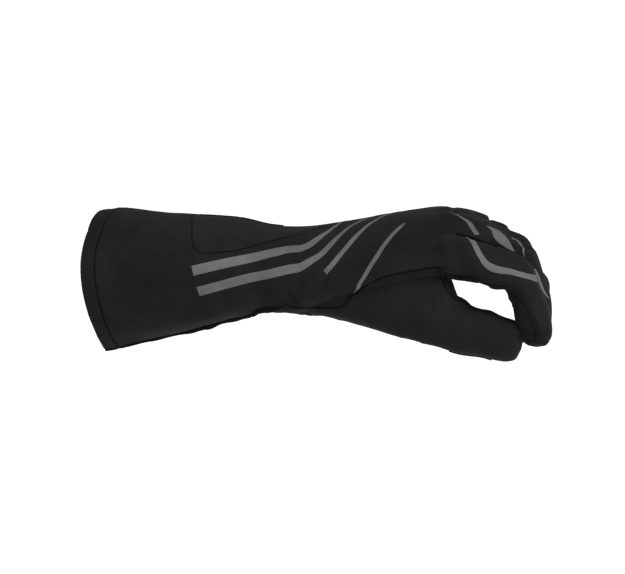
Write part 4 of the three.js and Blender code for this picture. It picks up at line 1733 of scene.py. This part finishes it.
@dataclass
class Stripes:
    """The grey prints on the cuff, the hand and the fingers."""

    surface: Surface
    thickness: float = 0.16 * MM
    wall_share: float = 1.6
    step: float = 0.8 * MM
    strands: int = 6
    least: float = 0.5 * MM
    most: float = 1.1 * MM
    sharp: float = 30
    table: tuple[Stripe, ...] = (
        Stripe(
            "stripe_cuff_upper",
            (
                (192.4, 270.8, 10), (240, 260.2, 9.2), (270, 253.3, 8.4), (288, 249.5, 8),
                (300.5, 248.5, 7.4),
                (310, 244.5, 5.8), (321, 236.5, 3.8), (331, 229.5, 2.6), (338, 224.5, 2), (343, 221.5, 1.6),
            ),
            5.8, 45,
        ),
        Stripe(
            "stripe_cuff_lower",
            (
                (198, 291.6, 9.5), (240, 280.3, 9.2), (270, 273.8, 9), (288, 269.5, 9), (299.5, 267.5, 8.2),
                (309, 262, 6.8), (321, 254.5, 5.2), (329, 246.5, 4.2), (334, 241, 3.6), (344, 231.5, 2.4),
                (352, 225.5, 2), (363, 220, 1.6),
            ),
            5.8, 40,
        ),
        Stripe(
            "stripe_hand_upper",
            (
                (325.4, 272.9, 5.2), (332.5, 264.5, 5), (345, 249.3, 4.3), (355, 237.5, 3.8), (367, 226, 2.6),
                (377, 219.5, 1.8), (382.5, 216.5, 1.4),
            ),
            3.4, 30,
        ),
        Stripe(
            "stripe_hand_lower",
            (
                (353.6, 294, 3.3), (362.9, 278.8, 3.5), (368.2, 269.8, 4), (376.3, 257.3, 4.2),
                (382.5, 247.5, 3.7), (390.1, 237.7, 3.4), (400.4, 227, 2.8), (404.8, 223.4, 1.2),
            ),
            2.8,
        ),
        Stripe(
            "stripe_middle_base",
            (
                (450.1, 211.9, 1), (454.9, 214.3, 0.9), (460.5, 217.1, 1.2), (465.4, 219.9, 2),
                (470.2, 224.3, 4),
                (473.4, 229.6, 4), (477, 234.8, 4.4),
            ),
            3.0,
        ),
        Stripe(
            "stripe_index",
            (
                (466.5, 236.6, 1.4), (471.4, 240, 3.4), (475, 245.6, 4.4), (478.2, 252, 5.2),
                (482.2, 258.5, 5.6),
                (486.3, 264.1, 6.5), (492.7, 268.1, 7.6), (499.9, 270.1, 7), (510.4, 271.7, 5.8),
                (520.8, 274.6, 5.3),
                (530.5, 277, 5), (536.9, 279, 4),
            ),
            4.6,
        ),
        Stripe(
            "stripe_index_end",
            (
                (534.5, 268.7, 1), (536.9, 274.6, 3), (539.3, 281, 3), (542.5, 289, 2.2), (545.7, 294.6, 1.5),
                (548.3, 297.9, 0.9),
            ),
            2.4,
        ),
        Stripe(
            "stripe_middle_patch",
            (
                (486.8, 226.2, 0.8), (492, 229, 3), (496, 232.2, 6.4), (499.5, 236, 9), (503, 239.8, 9.4),
                (507, 244, 7), (511, 248.4, 4), (514.4, 251.6, 0.8),
            ),
            7.5,
        ),
        Stripe(
            "stripe_middle_end",
            (
                (511.2, 238.6, 0.6), (515.2, 239.4, 1), (519.2, 242.8, 1.8), (521.6, 246.6, 1.9),
                (523.2, 251.3, 1.8),
                (524.4, 257, 0.6),
            ),
            1.8,
        ),
    )

    def build(self) -> None:
        """Makes one piece for each stripe."""
        for stripe in self.table:
            guides = [self.surface.seen(x, y) for x, y, _ in stripe.rows]
            place = [0.0]
            for a, b in pairwise(guides):
                place.append(place[-1] + (b - a).length)
            widths = [self._width(stripe, i) for i in range(len(stripe.rows))]
            if stripe.onward:
                guides = self.surface.onward(guides, stripe.onward * MM)
            trail = self.surface.lay(guides, self.step)
            even = np.linspace(0.0, trail.length(), len(trail))
            strip = self._strip(trail, np.interp(even, place, widths))
            add_piece(stripe.name, strip, PRINT, sharp=self.sharp)

    def _width(self, stripe: Stripe, i: int) -> float:
        """A row's width on the cloth, from its two edges in the photo.

        Args:
            stripe: the stripe.
            i: the row's number.

        Returns:
            The width.
        """
        x, y, width = stripe.rows[i]
        before, after = stripe.rows[max(i - 1, 0)], stripe.rows[min(i + 1, len(stripe.rows) - 1)]
        run = Vector((after[0] - before[0], after[1] - before[1])).normalized() * (width / 2)
        span = self.surface.seen(x - run.y, y + run.x) - self.surface.seen(x + run.y, y - run.x)
        return min(max(span.length, width * self.least), stripe.widest * MM, self.most * width)

    def _strip(self, trail: Trail, widths: np.ndarray) -> BMesh:
        """A thin strip over the skin.

        Args:
            trail: its middle line.
            widths: its width at each place of the trail.

        Returns:
            The closed mesh.
        """
        bm = bmesh.new()
        last = len(trail) - 1
        bmesh.ops.create_grid(bm, x_segments=last, y_segments=self.strands, size=1.0)
        for vert in bm.verts:
            i = int(round((vert.co.x + 1) / 2 * last))
            _, side, _ = trail.frame(i)
            guess = trail.places[i] + side * (vert.co.y * widths[i] / 2)
            place, normal, _, _ = self.surface.tree.find_nearest(guess)
            vert.co = place + normal * self.thickness
        bm.normal_update()
        thicken(bm, self.thickness * self.wall_share)
        return bm


# The studio


@dataclass
class Studio:
    """A plain pale floor, a soft high sun, a weak wide lamp and light all round."""

    floor_drop: float = 0.6
    floor_size: float = 12.0
    floor_shade: float = 0.92
    world: float = 0.5
    sun: float = 2.6
    sun_angle: float = 40
    sun_towards: tuple[float, float, float] = (0.45, -0.45, 1.25)
    fill: float = 0.45
    fill_size: float = 0.25
    fill_place: tuple[float, float, float] = (0.36, -0.3, -0.05)
    fill_aim: tuple[float, float, float] = (0.12, -0.04, -0.02)

    def build(self) -> None:
        """Adds the floor, the lights and the camera."""
        self._floor()
        self._sky()
        sun = self._lamp("key", "SUN", self.sun, self.sun_towards, (0.0, 0.0, 0.0))
        sun.angle = math.radians(self.sun_angle)
        fill = self._lamp("fill", "AREA", self.fill, self.fill_place, self.fill_aim)
        fill.size = self.fill_size
        VIEW.add_camera()

    def _floor(self) -> None:
        """Adds the plain floor."""
        bm = bmesh.new()
        bmesh.ops.create_grid(bm, x_segments=1, y_segments=1, size=self.floor_size)
        bmesh.ops.translate(bm, verts=bm.verts[:], vec=(0.0, 0.0, -self.floor_drop))
        mesh = bpy.data.meshes.new("floor")
        bm.to_mesh(mesh)
        bm.free()
        pale = bpy.data.materials.new("floor_white")
        pale.use_nodes = True
        shader = pale.node_tree.nodes["Principled BSDF"]
        shader.inputs["Base Color"].default_value = (*(self.floor_shade,) * 3, 1.0)
        shader.inputs["Roughness"].default_value = 1.0
        shader.inputs["Specular IOR Level"].default_value = 0.0
        mesh.materials.append(pale)
        floor = bpy.data.objects.new("floor", mesh)
        bpy.context.scene.collection.objects.link(floor)

    def _sky(self) -> None:
        """Lights the scene evenly from all round."""
        world = bpy.data.worlds.new("studio")
        world.use_nodes = True
        sky = world.node_tree.nodes["Background"]
        sky.inputs["Color"].default_value = (1.0, 1.0, 1.0, 1.0)
        sky.inputs["Strength"].default_value = self.world
        bpy.context.scene.world = world
        bpy.context.scene.view_settings.view_transform = "Standard"

    @staticmethod
    def _lamp(
        name: str, kind: str, energy: float, place: tuple[float, float, float],
        aim: tuple[float, float, float],
    ) -> bpy.types.Light:
        """Adds a lamp turned to its aim.

        Args:
            name: the lamp's name.
            kind: SUN or AREA.
            energy: its strength.
            place: where it stands.
            aim: the place that it shines at.

        Returns:
            The lamp's data.
        """
        data = bpy.data.lights.new(name, kind)
        data.energy = energy
        lamp = bpy.data.objects.new(name, data)
        lamp.location = place
        lamp.rotation_euler = (Vector(place) - Vector(aim)).to_track_quat("Z", "Y").to_euler()
        bpy.context.scene.collection.objects.link(lamp)
        return data


def main() -> None:
    """Builds the glove's pieces and the studio."""
    logging.basicConfig(level=logging.INFO, format="%(name)s: %(message)s")
    form = GloveForm(Gauntlet(), Hand(), Fingers(), Thumb(), WristPanel())
    fields = Fields(form)
    skin = Skin(form, fields).build()
    LOG.info("skin: %d faces", len(skin.faces))
    surface = Surface(BVHTree.FromBMesh(skin))
    cutter = PanelCutter(form, fields)
    cutter.label(skin)
    cutter.build(skin)
    skin.free()
    Seams(form, surface).build()
    Stripes(surface).build()
    Studio().build()


if __name__ == "__main__":
    main()
